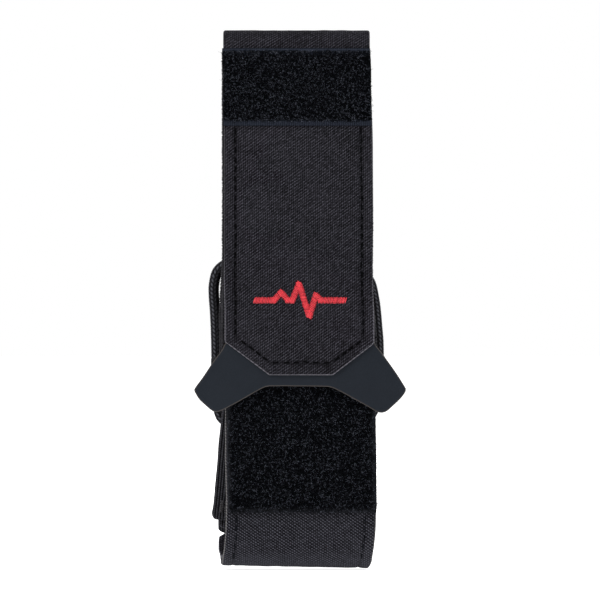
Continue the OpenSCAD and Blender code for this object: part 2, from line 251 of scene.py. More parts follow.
def ribbon(name, path, thickness, left, right, material, step, seed, fuzz=0.02,
           warp=None, dents=None, ribs=None, sag=None, edge_bias=None):
    """A flat textile along a path of (depth, z) points that traces its outer face.

    thickness, left and right are numbers or functions of a Station. warp(x, z) adds depth,
    sag(x, z) adds height, dents(x, z) sinks both faces, ribs(x) raises them, fuzz is the size
    of the random roughness and edge_bias(z) is added to the "edge" attribute.
    """
    path = refine_ends(np.asarray(path, float))
    run = run_along(path)
    tangent = np.gradient(path, run, axis=0)
    tangent /= np.linalg.norm(tangent, axis=1)[:, None]
    outward = np.stack([tangent[:, 1], -tangent[:, 0]], 1)
    station = Station(run, path[:, 0], path[:, 1])
    thickness, left, right = (value(station) if callable(value) else np.full(len(run), value)
                              for value in (thickness, left, right))

    # columns keep their true distance from the edges even where the piece narrows
    width = right - left
    margin = EDGE_COLUMNS[-1]
    count = max(3, int((float(np.max(width)) - 2 * margin) / step) + 1)
    near = np.minimum(EDGE_COLUMNS[None, :], width[:, None] / 2 * EDGE_COLUMNS[None, :] / margin)
    span = width[:, None] - 2 * near[:, -1:]
    middle = near[:, -1:] + span * np.linspace(0, 1, count)[1:-1][None, :]
    across = np.concatenate([near, middle, width[:, None] - near[:, ::-1]], 1)
    x = left[:, None] + across
    z = path[:, 1][:, None] + np.zeros_like(x)
    along = run[:, None] + np.zeros_like(x)

    slope_left = 1 / np.sqrt(1 + np.gradient(left, run) ** 2)
    slope_right = 1 / np.sqrt(1 + np.gradient(right, run) ** 2)
    distance = np.minimum(across * slope_left[:, None],
                          (width[:, None] - across) * slope_right[:, None])
    distance = np.minimum(distance, np.minimum(along, run[-1] - along))
    half = (thickness / 2)[:, None]
    full = round_off(distance, half)
    dent = dents(x, z) if dents else np.zeros_like(x)
    rib = ribs(x) if ribs else 0
    rough = waves(seed * 13 + 5, 6, 0.5, 1.6)(x, along) * fuzz

    def face(offset):
        depth = path[:, 0][:, None] + outward[:, 0][:, None] * offset
        height = path[:, 1][:, None] + outward[:, 1][:, None] * offset
        if warp:
            depth = depth + warp(x, z)
        if sag:
            height = height + sag(x, z)
        return np.stack([x, depth, height], -1)

    def around(values):
        """Carries values over the outer face and back over the inner one."""
        return np.concatenate([values, values[:, -2:0:-1]], 1)

    outer = face(-half + half * full + (rough - dent + rib) * full)
    inner = face(-half - half * full + (rough + dent * 0.8 - rib) * full)
    ring = np.concatenate([outer, inner[:, -2:0:-1]], 1)
    rows, ring_count = ring.shape[:2]
    caps = []
    for row in (0, rows - 1):
        first = row * ring_count
        for j in range(x.shape[1] - 1):
            corners = [first + j, first + j + 1, first + ring_count - 1 - j,
                       first + (ring_count - j) % ring_count]
            caps.append(list(dict.fromkeys(corners if row else corners[::-1])))
    quads = np.concatenate([closed_quads(rows, ring_count),
                            np.array([cap for cap in caps if len(cap) == 4])])
    ring_run = around(along)
    is_inner = np.concatenate([np.zeros_like(x), np.ones_like(x[:, -2:0:-1])], 1)
    bias = edge_bias(around(z)) if edge_bias else 0
    # the furrow attribute is the seam dent depth, which the woven cloth darkens as painted shade
    piece = build(name, ring.reshape(-1, 3), quads,
                  np.stack([around(x).ravel(), ring_run.ravel()], 1) * MM,
                  {"edge": (np.clip(around(distance), 0, 5) + bias).ravel(),
                   "inner": is_inner.ravel(),
                   "furrow": np.clip(around(dent) / 0.34, 0, 1).ravel(),
                   "ends": np.clip(np.minimum(ring_run, run[-1] - ring_run), 0, 5).ravel()},
                  material, tris=[cap for cap in caps if len(cap) == 3])
    fix_normals(piece)
    return piece


def plate(name, outline, back, front, material, warp, step, edge_radius):
    """A flat sheet of any outline: rings stepped inwards, then a filled middle, on both faces."""
    outline = densify(np.asarray(outline, float), step * 0.6)
    ahead = np.roll(outline, -1, 0)
    if 0.5 * np.sum(outline[:, 0] * ahead[:, 1] - ahead[:, 0] * outline[:, 1]) < 0:
        outline = outline[::-1]
    tangent = np.roll(outline, -1, 0) - np.roll(outline, 1, 0)
    tangent /= np.linalg.norm(tangent, axis=1)[:, None]
    inward = np.stack([-tangent[:, 1], tangent[:, 0]], 1)
    insets = (0.06, 0.16, 0.3, 0.5)
    rings = [outline] + [outline + inward * inset for inset in insets]
    low, high = outline.min(0), outline.max(0)
    x, z = np.meshgrid(np.arange(low[0], high[0], step), np.arange(low[1], high[1], step))
    x = x.ravel() + 0.5 * step * (np.round((z.ravel() - low[1]) / step) % 2)
    z = z.ravel()
    keep = inside(x, z, outline) & (outline_distance(x, z, outline) > insets[-1] + step * 0.45)
    filling = np.stack([x[keep], z[keep]], 1)
    count = len(outline)
    last_ring = (len(rings) - 1) * count
    flat = np.concatenate(rings + [filling])

    border = [(i, (i + 1) % count) for i in range(count)]
    result = delaunay_2d_cdt([Vector(p) for p in np.concatenate([rings[-1], filling])],
                             border, [], 1, 1e-5)
    source = [origin[0] if origin else None for origin in result[3]]
    tris = []
    for triangle in result[2]:
        corners = [source[i] for i in triangle]
        # a point added where lines cross has no source
        if len(corners) == 3 and None not in corners:
            tris.append([last_ring + i for i in corners])
    tris = np.array(tris)

    distance = np.minimum(outline_distance(flat[:, 0], flat[:, 1], outline), 5)
    distance[:count] = 0
    bulge = (front - back) / 2 * round_off(distance, edge_radius)
    middle = (back + front) / 2
    shift = warp(flat[:, 0], flat[:, 1])
    faces = [np.stack([flat[:, 0], middle + sign * bulge + shift, flat[:, 1]], 1)
             for sign in (1, -1)]
    i = np.arange(count)
    after = (i + 1) % count
    quads = np.concatenate([
        np.stack([k * count + i, k * count + after,
                  (k + 1) * count + after, (k + 1) * count + i], 1)
        for k in range(len(rings) - 1)])
    piece = build(name, np.concatenate(faces),
                  np.concatenate([quads, quads[:, ::-1] + len(flat)]),
                  np.concatenate([flat, flat]) * MM,
                  {"edge": np.concatenate([distance, distance])}, material,
                  tris=np.concatenate([tris, tris[:, ::-1] + len(flat)]))
    fix_normals(piece)
    return piece


def tubes(name, centres, radii, material, sides, tones=None):
    """Many tubes in one mesh.

    centres is (tubes, points, 3) as (x, depth, z), radii is (tubes, points), and tones gives
    each tube its "rnd" value.
    """
    centres = np.asarray(centres, float)
    count, points, _ = centres.shape
    tangent = np.gradient(centres, axis=1)
    tangent /= np.linalg.norm(tangent, axis=2, keepdims=True) + 1e-12
    reference = np.array([0.31, 0.9, 0.29])
    parallel = np.abs((tangent * reference).sum(-1, keepdims=True)) > 0.93
    reference = np.where(parallel, np.array([0.9, -0.2, 0.1]), reference)
    across = np.cross(tangent, reference)
    across /= np.linalg.norm(across, axis=2, keepdims=True) + 1e-12
    third = np.cross(tangent, across)
    angle = np.linspace(0, 2 * PI, sides, endpoint=False)[None, None, :, None]
    verts = centres[:, :, None, :] + np.asarray(radii, float)[:, :, None, None] * (
        np.cos(angle) * across[:, :, None, :] + np.sin(angle) * third[:, :, None, :])
    per = points * sides
    first = np.arange(count) * per
    last = first + per - sides
    quads = (first[:, None, None] + closed_quads(points, sides)[None]).reshape(-1, 4)
    tris = ()
    if sides == 4:
        quads = np.concatenate([quads, np.stack([first + 3, first + 2, first + 1, first], 1),
                                np.stack([last, last + 1, last + 2, last + 3], 1)])
    else:
        fans = []
        for i in range(1, sides - 1):
            fans.append(np.stack([first, first + i + 1, first + i], 1))
            fans.append(np.stack([last, last + i, last + i + 1], 1))
        tris = np.concatenate(fans)
    if tones is None:
        tones = shared_rng.random(count)
    along = np.tile(np.repeat(np.linspace(0, 1, points), sides), count)
    turn = np.tile(np.linspace(0, 1, sides, endpoint=False), points * count)
    return build(name, verts.reshape(-1, 3), quads, np.stack([along, turn], 1),
                 {"rnd": np.repeat(tones, per)}, material, tris=tris)


def stitches(points, surface, seed, pitch, length, radius, lift=0.1, jitter=0.1):
    """Stitches with sunken ends along a line of (x, z) points; returns centres and radii."""
    rng = np.random.default_rng(seed)
    points = np.asarray(points, float)
    run = run_along(points)
    count = max(1, int(round(run[-1] / pitch)))
    u = np.linspace(-0.5, 0.5, 7)
    centres, radii = [], []
    for i in range(count):
        middle = (i + 0.5) * run[-1] / count
        along = np.linspace(middle - length / 2, middle + length / 2, 7)
        x = np.interp(along, run, points[:, 0]) + rng.normal(0, jitter * 0.4)
        z = np.interp(along, run, points[:, 1]) + rng.normal(0, jitter * 0.4)
        tilt = rng.normal(0, jitter)
        span_x, span_z = x[-1] - x[0], z[-1] - z[0]
        span = math.hypot(span_x, span_z) + 1e-9
        x = x - span_z / span * tilt * u
        z = z + span_x / span * tilt * u
        height = lift * np.cos(u * PI * 0.98) ** 0.6 - 0.24 * (np.abs(u) * 2) ** 4
        centres.append(np.stack([x, surface(x, z) + height, z], 1))
        radii.append(radius * (1 - 0.45 * (np.abs(u) * 2) ** 3))
    return np.array(centres), np.array(radii)


def sew(name, rows, material, sides=6):
    return tubes(name, np.concatenate([row[0] for row in rows]),
                 np.concatenate([row[1] for row in rows]), material, sides)


def level(depth):
    """A flat surface at one depth."""
    return lambda x, z: depth + 0 * x


# Bends between the carrier and a moving body: body, start and end in metres.
BENDS = {"flap bend": ("flap", (0, -0.02765, 0.0688), (0, -0.02765, 0.0618)),
         "pocket bend": ("pocket", (0, -0.022, -0.0665), (0, -0.022, -0.0590))}


def assign(piece, body, replaces=None):
    if replaces:
        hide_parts(replaces)
    if body in BENDS:
        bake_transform(piece)
    else:
        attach(piece, body)


# ---------------------------------------------------------------- shader building
def math_node(operation):
    def apply(first, second=0.0, third=0.0):
        return first.shader.node("Math", {0: first, 1: second, 2: third}, operation=operation)
    return apply


class Signal:
    """A shader socket; arithmetic on it adds Math nodes."""

    def __init__(self, shader, socket):
        self.shader = shader
        self.socket = socket

    __add__ = math_node("ADD")
    __sub__ = math_node("SUBTRACT")
    __mul__ = math_node("MULTIPLY")
    __pow__ = math_node("POWER")
    __mod__ = math_node("FLOORED_MODULO")
    __abs__ = math_node("ABSOLUTE")
    __lt__ = math_node("LESS_THAN")
    __gt__ = math_node("GREATER_THAN")
    sine = math_node("SINE")
    cosine = math_node("COSINE")
    floor = math_node("FLOOR")
    fraction = math_node("FRACT")
    maximum = math_node("MAXIMUM")
    scale_add = math_node("MULTIPLY_ADD")

    def __rsub__(self, number):
        return self.shader.node("Math", {0: number, 1: self, 2: 0.0}, operation="SUBTRACT")

    def step(self, start, end):
        """0 below start, 1 above end."""
        return self.shader.node("MapRange", {0: self, 1: start, 2: end},
                                interpolation_type="SMOOTHSTEP")


class Shader:
    """A material with a Principled surface."""

    def __init__(self, name):
        self.material = bpy.data.materials.new(name)
        self.material.use_nodes = True
        self.tree = self.material.node_tree
        self.tree.nodes.clear()
        output = self.tree.nodes.new("ShaderNodeOutputMaterial")
        self.surface = self.tree.nodes.new("ShaderNodeBsdfPrincipled")
        self.tree.links.new(self.surface.outputs[0], output.inputs[0])

    def put(self, socket, value):
        if isinstance(value, Signal):
            self.tree.links.new(value.socket, socket)
        else:
            socket.default_value = value

    def node(self, kind, inputs=None, output=0, **settings):
        node = self.tree.nodes.new("ShaderNode" + kind)
        for key, value in settings.items():
            setattr(node, key, value)
        for key, value in (inputs or {}).items():
            self.put(node.inputs[key], value)
        return Signal(self, node.outputs[output])

    def position(self):
        return self.node("TexCoord", output="Object")

    def uv(self):
        return self.node("UVMap", uv_map="UVMap")

    def attribute(self, name):
        return self.node("Attribute", output="Fac", attribute_name=name)

    def split(self, vector):
        first = self.node("SeparateXYZ", {0: vector})
        return [Signal(self, socket) for socket in first.socket.node.outputs]

    def mix(self, factor, first, second):
        return self.node("Mix", {0: factor, 6: first, 7: second}, 2,
                         data_type="RGBA", clamp_factor=True)

    def noise(self, vector, scale, detail=3.0, rough=0.6):
        return self.node("TexNoise", {"Scale": scale, "Detail": detail, "Roughness": rough,
                                      "Vector": vector})

    def cells(self, vector, scale):
        return self.node("TexVoronoi", {"Scale": scale, "Vector": vector})

    def bump(self, height, distance, strength, normal=None):
        inputs = {"Strength": strength, "Distance": distance, "Height": height}
        if normal:
            inputs["Normal"] = normal
        return self.node("Bump", inputs)

    def finish(self, colour, roughness, specular, normal=None, sheen=0.0, tint=None):
        inputs = {"Base Color": colour, "Roughness": roughness, "Specular IOR Level": specular,
                  "Sheen Weight": sheen, "Sheen Roughness": 0.45}
        if normal:
            inputs["Normal"] = normal
        if tint:
            inputs["Sheen Tint"] = tint
        for key, value in inputs.items():
            self.put(self.surface.inputs[key], value)
        return self.material


def rgba(colour, gain=1.0):
    return (colour[0] * gain, colour[1] * gain, colour[2] * gain, 1.0)


# ---------------------------------------------------------------- textile materials
def woven(name, base, pitch=(0.58, 0.41), ribbed=False, lean=0.35, wander=1.3, contrast=1.0,
          dust=0.3, low=0.0, high=3.6, bump=0.00012, sheen=0.0, edge_highlight_width=0.34,
          edge_highlight_amount=0.8, edge_highlight_colour=(0.145, 0.14, 0.16), painted_floor_light=0.0, overprint=None):
    """Woven cloth on a UV map in metres.

    pitch is the yarn spacing in mm across and along, wander how far yarns stray, and lean
    tilts the crowns so that one diagonal reads stronger. Tone runs from low to high times
    base; dust is its slow variation, and under lightens the bottom of the piece as painted
    light from the floor. The edge values paint a highlight along the cut edges.
    overprint(shader, colour) may print over the weave.
    """
    s = Shader(name)
    uv = s.uv()
    u, v, _ = s.split(uv)
    stray_u = (s.noise(uv, scale=110.0, detail=2.0) - 0.5) * wander
    shifted = s.node("VectorMath", {0: uv, 1: (0.37, 0.37 * 1.7, 0.37 * 0.4)}, operation="ADD")
    stray_v = (s.noise(shifted, scale=100.0, detail=2.0) - 0.5) * wander
    u = u * (1000.0 / pitch[0]) + stray_u
    v = v * (1000.0 / pitch[1]) + stray_v
    fine = s.noise(uv, scale=2300.0, detail=2.0, rough=0.7)
    wide = s.noise(uv, scale=60.0)
    if ribbed:
        column = u.floor()
        rib = abs((u * PI).sine())
        offset = (column % 2.0) * 0.5
        pick = abs(((v + offset) * PI).sine())
        height = (rib ** 2.2) * pick.scale_add(0.75, 0.25)
    else:
        cell_u = u.fraction() - 0.5
        cell_v = v.fraction() - 0.5
        odd = (u.floor() + v.floor()) % 2.0
        # crown of the yarn on top: long one way, narrow the other, sheared by the twist
        sheared_u = cell_u + cell_v * lean
        sheared_v = cell_v + cell_u * lean
        warp = (sheared_u * (PI * 0.98)).cosine() * (cell_v * (PI * 0.62)).cosine()
        weft = (sheared_v * (PI * 0.98)).cosine() * (cell_u * (PI * 0.72)).cosine()
        warp = warp.maximum(0.0)
        weft = weft.maximum(0.0) * 0.42
        crown = (1.0 - odd) * warp + odd * weft
        diagonal = ((u + v * (1.0 if lean < 0 else -1.0)) * PI).cosine().scale_add(0.5, 0.5)
        height = crown * (1.0 - 0.45 * abs(lean)) + (diagonal * crown) * (0.9 * abs(lean))
    yarn = s.node("CombineXYZ", {0: u.floor(), 1: v.floor()})
    vary = s.node("TexWhiteNoise", {"Vector": yarn}, "Value", noise_dimensions="2D")
    vary = vary.scale_add(0.9, 0.55)
    tone = ((height.maximum(0.0) ** 1.25) * vary) * contrast + (fine - 0.5) * 0.3
    tone = tone + (wide - 0.5) * dust
    # painted light from the floor: lightens the cloth near the bottom of the piece
    if painted_floor_light:
        z = s.split(s.position())[2]
        tone = (1.0 - z.step(-0.0716, -0.0655)).scale_add(painted_floor_light, tone)
    # painted shade in the stitched furrows: the cloth darkens where the seams sink it
    tone = tone * s.attribute("furrow").scale_add(-0.5, 1.0)
    colour = s.mix(tone, rgba(base, low), rgba(base, high))
    # painted highlight along the cut edges, broken into nubs along the yarns
    ragged = s.attribute("edge") + (s.noise(uv, scale=900.0, detail=2.0) - 0.5) * 0.22
    rim = (1.0 - ragged.step(edge_highlight_width * 0.5, edge_highlight_width)) * edge_highlight_amount
    nubs = abs((v * (PI * 0.5)).sine()).scale_add(0.75, 0.25)
    colour = s.mix(rim * nubs, colour, rgba(edge_highlight_colour))
    if overprint:
        colour = overprint(s, colour)
    normal = s.bump(height + fine * 0.3, distance=bump, strength=0.9)
    return s.finish(colour, height.scale_add(-0.1, 0.92), specular=0.04, normal=normal,
                    sheen=sheen, tint=(0.62, 0.64, 0.75, 1.0))


def ruled_frame(s, colour):
    """Prints a frame and two writing rules, placed in metres."""
    position = s.position()
    x, _, z = s.split(position)

    def band(value, centre, half_width):
        return abs(value - centre) < half_width

    def within(value, low, high):
        return (value > low) * (value < high)

    frame_half, rule_half = 0.0003, 0.00022
    frame_x, frame_z = within(x, -0.0169, 0.0137), within(z, 0.0383, 0.0552)
    ink = band(x, -0.0166, frame_half).maximum(band(x, 0.0134, frame_half)) * frame_z
    ink = ink.maximum(band(z, 0.0386, frame_half).maximum(band(z, 0.0549, frame_half)) * frame_x)
    rule_x = within(x, -0.0142, 0.0110)
    ink = ink.maximum(band(z, 0.0434, rule_half).maximum(band(z, 0.0490, rule_half)) * rule_x)
    fade = s.noise(position, scale=1400.0, detail=2.0).scale_add(0.9, 0.3)
    return s.mix(ink * fade, colour, rgba((0.05, 0.05, 0.055)))


PILE_TINT = (0.6, 0.65, 0.8, 1)


def fibre_material(name, base, painted_highlight_colour, cut):
    """Loose fibres; those whose random tone passes cut get a painted highlight along their middle,
    leaving their roots dark as painted shade.
    """
    s = Shader(name)
    tone = s.attribute("rnd")
    # painted highlight strength along each fibre: full at the middle of the loop, none at its ends
    body = (s.split(s.uv())[0] * PI).sine()
    grain = s.noise(s.position(), scale=900.0, detail=2.0, rough=0.7)
    colour = s.mix(grain * 0.5 + tone * 0.5, rgba(base, 0.2), rgba(base, 1.6))
    colour = s.mix(tone.step(cut, 1.0) * body, colour, rgba(painted_highlight_colour))
    normal = s.bump(grain, distance=0.00005, strength=0.4)
    return s.finish(colour, grain.scale_add(-0.2, 0.7), specular=0.015, normal=normal,
                    tint=PILE_TINT)


def pile_base_material(name, selvage, gain, lift=0.0, rim=0.0, border=None):
    """Ground cloth of the loop tape.

    selvage is where the bare woven strip at the ends starts and stops fading, in mm, and gain
    its brightness. lift lightens its upper strip, rim darkens the very ends as a painted
    shadow and border colours the sides.
    """
    base = (0.0025, 0.003, 0.004)
    s = Shader(name)
    uv = s.uv()
    speckle = s.cells(uv, scale=1500.0)
    fine = s.noise(uv, scale=1900.0, rough=0.75)
    patch = s.noise(uv, scale=260.0)
    colour = s.mix(fine * 0.7 + speckle * 0.5, rgba(base, 0.15), rgba(base, 1.1))
    colour = s.mix(patch * 0.4, colour, rgba(base, 0.3))
    ends = s.attribute("ends")
    rows = abs((s.split(uv)[0] * (1000.0 * PI / 0.58)).sine())
    ragged = ends + (s.noise(uv, scale=160.0, detail=2.0) - 0.5) * 0.9
    bare = 1.0 - ragged.step(*selvage)
    rows = rows.scale_add(0.8, 0.2) * fine.scale_add(2.4, -0.2)
    bare_colour = s.mix(rows, rgba((0.003, 0.004, 0.006), gain), rgba((0.021, 0.025, 0.036), gain))
    if lift:
        z = s.split(s.position())[2]
        fade = 1.0 - ends.step(0.35, 1.2)
        upper = (z.step(0.055, 0.058) * fade) * lift
        bare_colour = s.mix(upper, bare_colour, rgba((0.030, 0.036, 0.052)))
    colour = s.mix(bare, colour, bare_colour)
    normal = s.bump(fine + (rows * bare) * 0.8, distance=0.00022, strength=0.9)
    if border:
        side = 1.0 - (patch - 0.5).scale_add(1.2, s.attribute("edge")).step(0.6, 1.5)
        colour = s.mix(side * fine.scale_add(1.2, 0.1), colour, rgba(border))
    # painted shadow along the very ends of the tape
    if rim:
        colour = s.mix((1.0 - ends.step(0.06, 0.3)) * rim, colour, rgba((0.002, 0.002, 0.003)))
    return s.finish(colour, 0.9, specular=0.03, normal=normal, tint=PILE_TINT)


def thread_material(name, base, specular=0.4, rough=0.55, twist=26.0, sheen=0.2):
    """Twisted thread; twist is the number of half turns along one tube."""
    s = Shader(name)
    along, turn, _ = s.split(s.uv())
    tone = s.attribute("rnd")
    height = ((along * twist + turn * 2.0) * PI).sine().scale_add(0.5, 0.5)
    grain = s.noise(s.position(), scale=2500.0, detail=2.0)
    mixed = height * 0.5 + (tone * 0.3 + grain * 0.25)
    colour = s.mix(mixed, rgba(base, 0.5), rgba(base, 1.35))
    normal = s.bump(height, distance=0.00006, strength=0.7)
    return s.finish(colour, grain.scale_add(0.2, rough - 0.1), specular=specular, normal=normal,
                    sheen=sheen, tint=(1, 0.9, 0.9, 1))


def tab_material(name):
    """Coated sheet with a faint weave and a painted highlight along its rim."""
    s = Shader(name)
    position = s.position()
    fine = s.noise(position, scale=1700.0, rough=0.65)
    mid = s.noise(position, scale=300.0)
    wide = s.noise(position, scale=45.0, rough=0.5)
    x, _, z = s.split(position)
    per_yarn = 1000.0 * PI / 0.62
    weave = abs((x * per_yarn).sine()) * abs((z * per_yarn).sine())
    tone = wide * 0.5 + (mid * 0.3 + fine * 0.25)
    tone = (tone - 0.5).scale_add(2.6, 0.5)
    colour = s.mix(tone, rgba((0.0038, 0.0060, 0.0098)), rgba((0.0078, 0.0106, 0.0155)))
    # painted highlight: a thin lighter brownish line along the cut edge
    rim = 1.0 - (s.attribute("edge") + (mid - 0.5) * 0.12).step(0.16, 0.34)
    colour = s.mix(rim * 0.6, colour, rgba((0.062, 0.053, 0.047)))
    normal = s.bump(fine * 0.5 + weave * 0.35, distance=0.00004, strength=0.55)
    return s.finish(colour, mid.scale_add(0.2, 0.52), specular=0.13, normal=normal)


def cord_material(name):
    """Braided cord; the rnd attribute carries the relief of the braid times a painted shadow on
    its inner side.
    """
    s = Shader(name)
    uv = s.uv()
    along, turn, _ = s.split(uv)
    # relief of the braid, darkened on the cord's inner side by a painted shadow
    relief = s.attribute("rnd")
    grain = s.noise(uv, scale=900.0, detail=2.0)
    strand = abs(((along * 9000.0 + turn * 16.0) * PI).sine())
    tone = (relief ** 3.0) * 0.95 + (strand * relief) * 0.12
    colour = s.mix(tone, rgba((0.0010, 0.0010, 0.0015)), rgba((0.078, 0.080, 0.093)))
    normal = s.bump(strand + grain, distance=0.00004, strength=0.6)
    return s.finish(colour, 0.75, specular=0.1, normal=normal, tint=(0.7, 0.7, 0.8, 1))


# ---------------------------------------------------------------- hard materials
def moulded(name, base, rough, grain=1400.0, painted_edge_highlight=0.35, pit_scale=900.0, specular=0.26):
    """Grained, pitted surface with rub marks; wear paints a highlight on its sharp edges, broken
    up by scratch noise.
    """
    s = Shader(name)
    position = s.position()
    fine = s.noise(position, scale=grain)
    patch = s.noise(position, scale=120.0, detail=4.0)
    scratch = s.noise(position, scale=420.0, detail=2.0, rough=0.8)
    bevel = s.node("Bevel", {"Radius": 0.00028}, samples=4)
    true_normal = s.node("NewGeometry", output="Normal")
    facing = s.node("VectorMath", {0: bevel, 1: true_normal}, "Value", operation="DOT_PRODUCT")
    edge = 1.0 - facing.step(0.80, 0.995)
    tone = (fine * 0.35 + patch * 0.65 - 0.5).scale_add(2.8, 0.5)
    pit = s.cells(position, scale=pit_scale)
    colour = s.mix(tone, rgba(base, 0.55), rgba(base, 1.5))
    colour = s.mix(pit.step(0.45, 0.85) * 0.5, colour, rgba(base, 0.25))
    # fine rub marks drawn out along the height
    stretched = s.node("Mapping", {"Vector": position, "Scale": (1.0, 1.0, 0.07)})
    rub = s.noise(stretched, scale=2100.0, detail=2.0, rough=0.5).step(0.60, 0.72)
    colour = s.mix((rub * patch.step(0.45, 0.62)) * 0.3, colour, rgba(base, 3.2))
    # painted highlight on the rounded edges, in scratch-broken patches
    colour = s.mix((edge * scratch) * painted_edge_highlight, colour, rgba(base, 4.5))
    normal = s.bump(fine + (scratch * 0.8 + pit * -1.6), distance=0.00010, strength=0.85,
                    normal=bevel)
    roughness = patch.scale_add(0.34, scratch.scale_add(0.2, rough - 0.24))
    return s.finish(colour, roughness, specular=specular, normal=normal)


FLAP_TWILL = woven("flap_twill", base=(0.0135, 0.0130, 0.0162), lean=-0.5)
POCKET_TWILL = woven("pocket_twill", base=(0.0160, 0.0161, 0.0198), lean=0.75, edge_highlight_width=0.36,
                     edge_highlight_amount=0.85, edge_highlight_colour=(0.16, 0.155, 0.155), high=4.2, painted_floor_light=0.16,
                     wander=2.2)
LINING = woven("lining_cloth", base=(0.014, 0.014, 0.0165), pitch=(0.5, 0.5), edge_highlight_amount=0.3)
BAND = woven("band_webbing", base=(0.0125, 0.012, 0.0148), lean=0.3)
STRAP = woven("strap_webbing", base=(0.0084, 0.0084, 0.0098), pitch=(0.74, 0.6), ribbed=True,
              contrast=2.2, high=4.6, edge_highlight_width=0.3, edge_highlight_amount=0.25, bump=0.0002, dust=0.25,
              wander=0.3)
TAG = woven("tag_white", base=(0.42, 0.42, 0.40), pitch=(0.25, 0.25), contrast=0.5,
            edge_highlight_amount=0.3, edge_highlight_colour=(0.5, 0.5, 0.48), low=0.8, high=1.25, sheen=0.02,
            bump=0.00004, overprint=ruled_frame)
PILE = fibre_material("loop_pile", base=(0.0022, 0.0026, 0.0036),
                      painted_highlight_colour=(0.122, 0.132, 0.165), cut=0.73)
UPPER_PILE_BASE = pile_base_material("loop_pile_base", selvage=(1.35, 2.0), gain=0.85,
                                     lift=0.55, rim=0.6)
LOWER_PILE_BASE = pile_base_material("loop_pile_low", selvage=(0.1, 0.5), gain=0.8,
                                     border=(0.021, 0.022, 0.026))
HOOK = fibre_material("hook_tape", base=(0.012, 0.012, 0.014),
                      painted_highlight_colour=(0.06, 0.06, 0.065), cut=0.7)
HOOK_BASE = woven("hook_base", base=(0.010, 0.010, 0.012), pitch=(0.5, 0.5), edge_highlight_amount=0.2)
BLACK_THREAD = thread_material("thread_black", base=(0.0011, 0.0012, 0.0016), specular=0.03,
                               rough=0.7, sheen=0.0)
RED_THREAD = thread_material("thread_red", base=(0.60, 0.022, 0.036), rough=0.5, twist=10.0,
                             sheen=0.1)
SELVAGE_YARN = thread_material("selvage_yarn", base=(0.034, 0.033, 0.037), specular=0.05,
                               rough=0.8, sheen=0.0)
COATED_TAB = tab_material("coated_tab")
PLASTIC = moulded("plate_plastic", base=(0.010, 0.010, 0.012), rough=0.46)
ROD_PLASTIC = moulded("rod_plastic", base=(0.009, 0.009, 0.011), rough=0.36, grain=900.0,
                      pit_scale=500.0, specular=0.42)
FERRULE = moulded("ferrule_metal", base=(0.03, 0.03, 0.032), rough=0.35, grain=600.0, painted_edge_highlight=0.8)
CORD = cord_material("elastic_cord")

# ---------------------------------------------------------------- shared outlines, in mm
TOP_BEND, BOTTOM_BEND = 5.0, 9.0            # radii of the upper and lower folds
FOLD_Z, SOLE_Z = 66.7, -62.7                # where the folds start
TOP_Z, BOTTOM_Z = FOLD_Z + TOP_BEND, SOLE_Z - BOTTOM_BEND
FLAP_FRONT, POCKET_FRONT = 27.0, 22.0       # depths of the front faces
TIP_Z, TIP_HALF, TIP_X = -20.15, 8.4, 0.3   # flat lower end of the flap
CUT_HEIGHT = 8.7                            # height of the flap's cut corners
CUT_SLOPE = (20.0 - TIP_HALF) / CUT_HEIGHT
SEAM_INSET, TIP_SEAM_RISE = 2.85, 3.4       # seams in from the sides and up from the tip

flap_unevenness = waves(3, 5, 0.03, 0.09)
pocket_unevenness = waves(9, 5, 0.03, 0.10)
wiggle_left = waves(21, 4, 0.12, 0.5)
wiggle_right = waves(22, 4, 0.12, 0.5)


def flap_warp(x, z):
    """Extra depth shared by every layer of the flap."""
    return (0.22 * flap_unevenness(x, z) - 0.0006 * x * x) * smooth(66, 56, z) * 0.9


def pocket_warp(x, z):
    return (0.16 * pocket_unevenness(x, z) - 0.0006 * x * x) * smooth(-62, -54, z)


def bottom_sag(x, z):
    """The bottom fold hangs a little lower on the right."""
    return (0.1 - 0.018 * x) * smooth(-56, -70, z)


def face_left(z):
    side = -20.05 - 0.35 * smooth(40, 70, z) + 0.05 * wiggle_left(z, 0)
    cut = -TIP_HALF + TIP_X - (z - TIP_Z) * (20.05 - TIP_HALF) / CUT_HEIGHT
    return np.maximum(side, cut)


def face_right(z):
    side = 19.3 - 0.75 * smooth(22, 72, z) + 0.4 * smooth(8, -8, z) + 0.05 * wiggle_right(z, 3)
    cut = TIP_HALF + TIP_X + (z - TIP_Z) * (19.75 - TIP_HALF) / CUT_HEIGHT
    return np.minimum(side, cut)


def lining_left(z):
    """Left edge of the flap's lining, which shows past the face."""
    return -20.45 - 0.75 * smooth(14, -6, z) + 0.05 * wiggle_left(z, 7)


def cut_left(z):
    return -TIP_HALF + TIP_X - (z - TIP_Z) * CUT_SLOPE


def cut_right(z):
    return TIP_HALF + TIP_X + (z - TIP_Z) * CUT_SLOPE


def seam_dent(x, z):
    """Depth of the stitched furrows on the flap."""
    left = x - (face_left(z) + SEAM_INSET)
    right = x - (face_right(z) - SEAM_INSET)
    past_tip = smooth(TIP_HALF - 1.6, TIP_HALF + 1.5, np.abs(x))
    tip = np.abs(z - (TIP_Z + TIP_SEAM_RISE)) + 3 * past_tip
    stretch = math.sqrt(1 + CUT_SLOPE * CUT_SLOPE)
    lower_left = (x - cut_left(z)) / stretch - SEAM_INSET
    lower_right = (cut_right(z) - x) / stretch - SEAM_INSET
    on_side = smooth(-12.5, -9.5, z) * smooth(47.5, 46, z)
    on_cut = smooth(-9.0, -11.5, z) * (np.abs(x) > TIP_HALF - 2)
    return (0.36 * (bell(left, 0.6) + bell(right, 0.6)) * on_side
            + 0.28 * (bell(lower_left, 0.55) + bell(lower_right, 0.55)) * on_cut
            + 0.28 * bell(tip, 0.55) * (z < TIP_Z + 6))


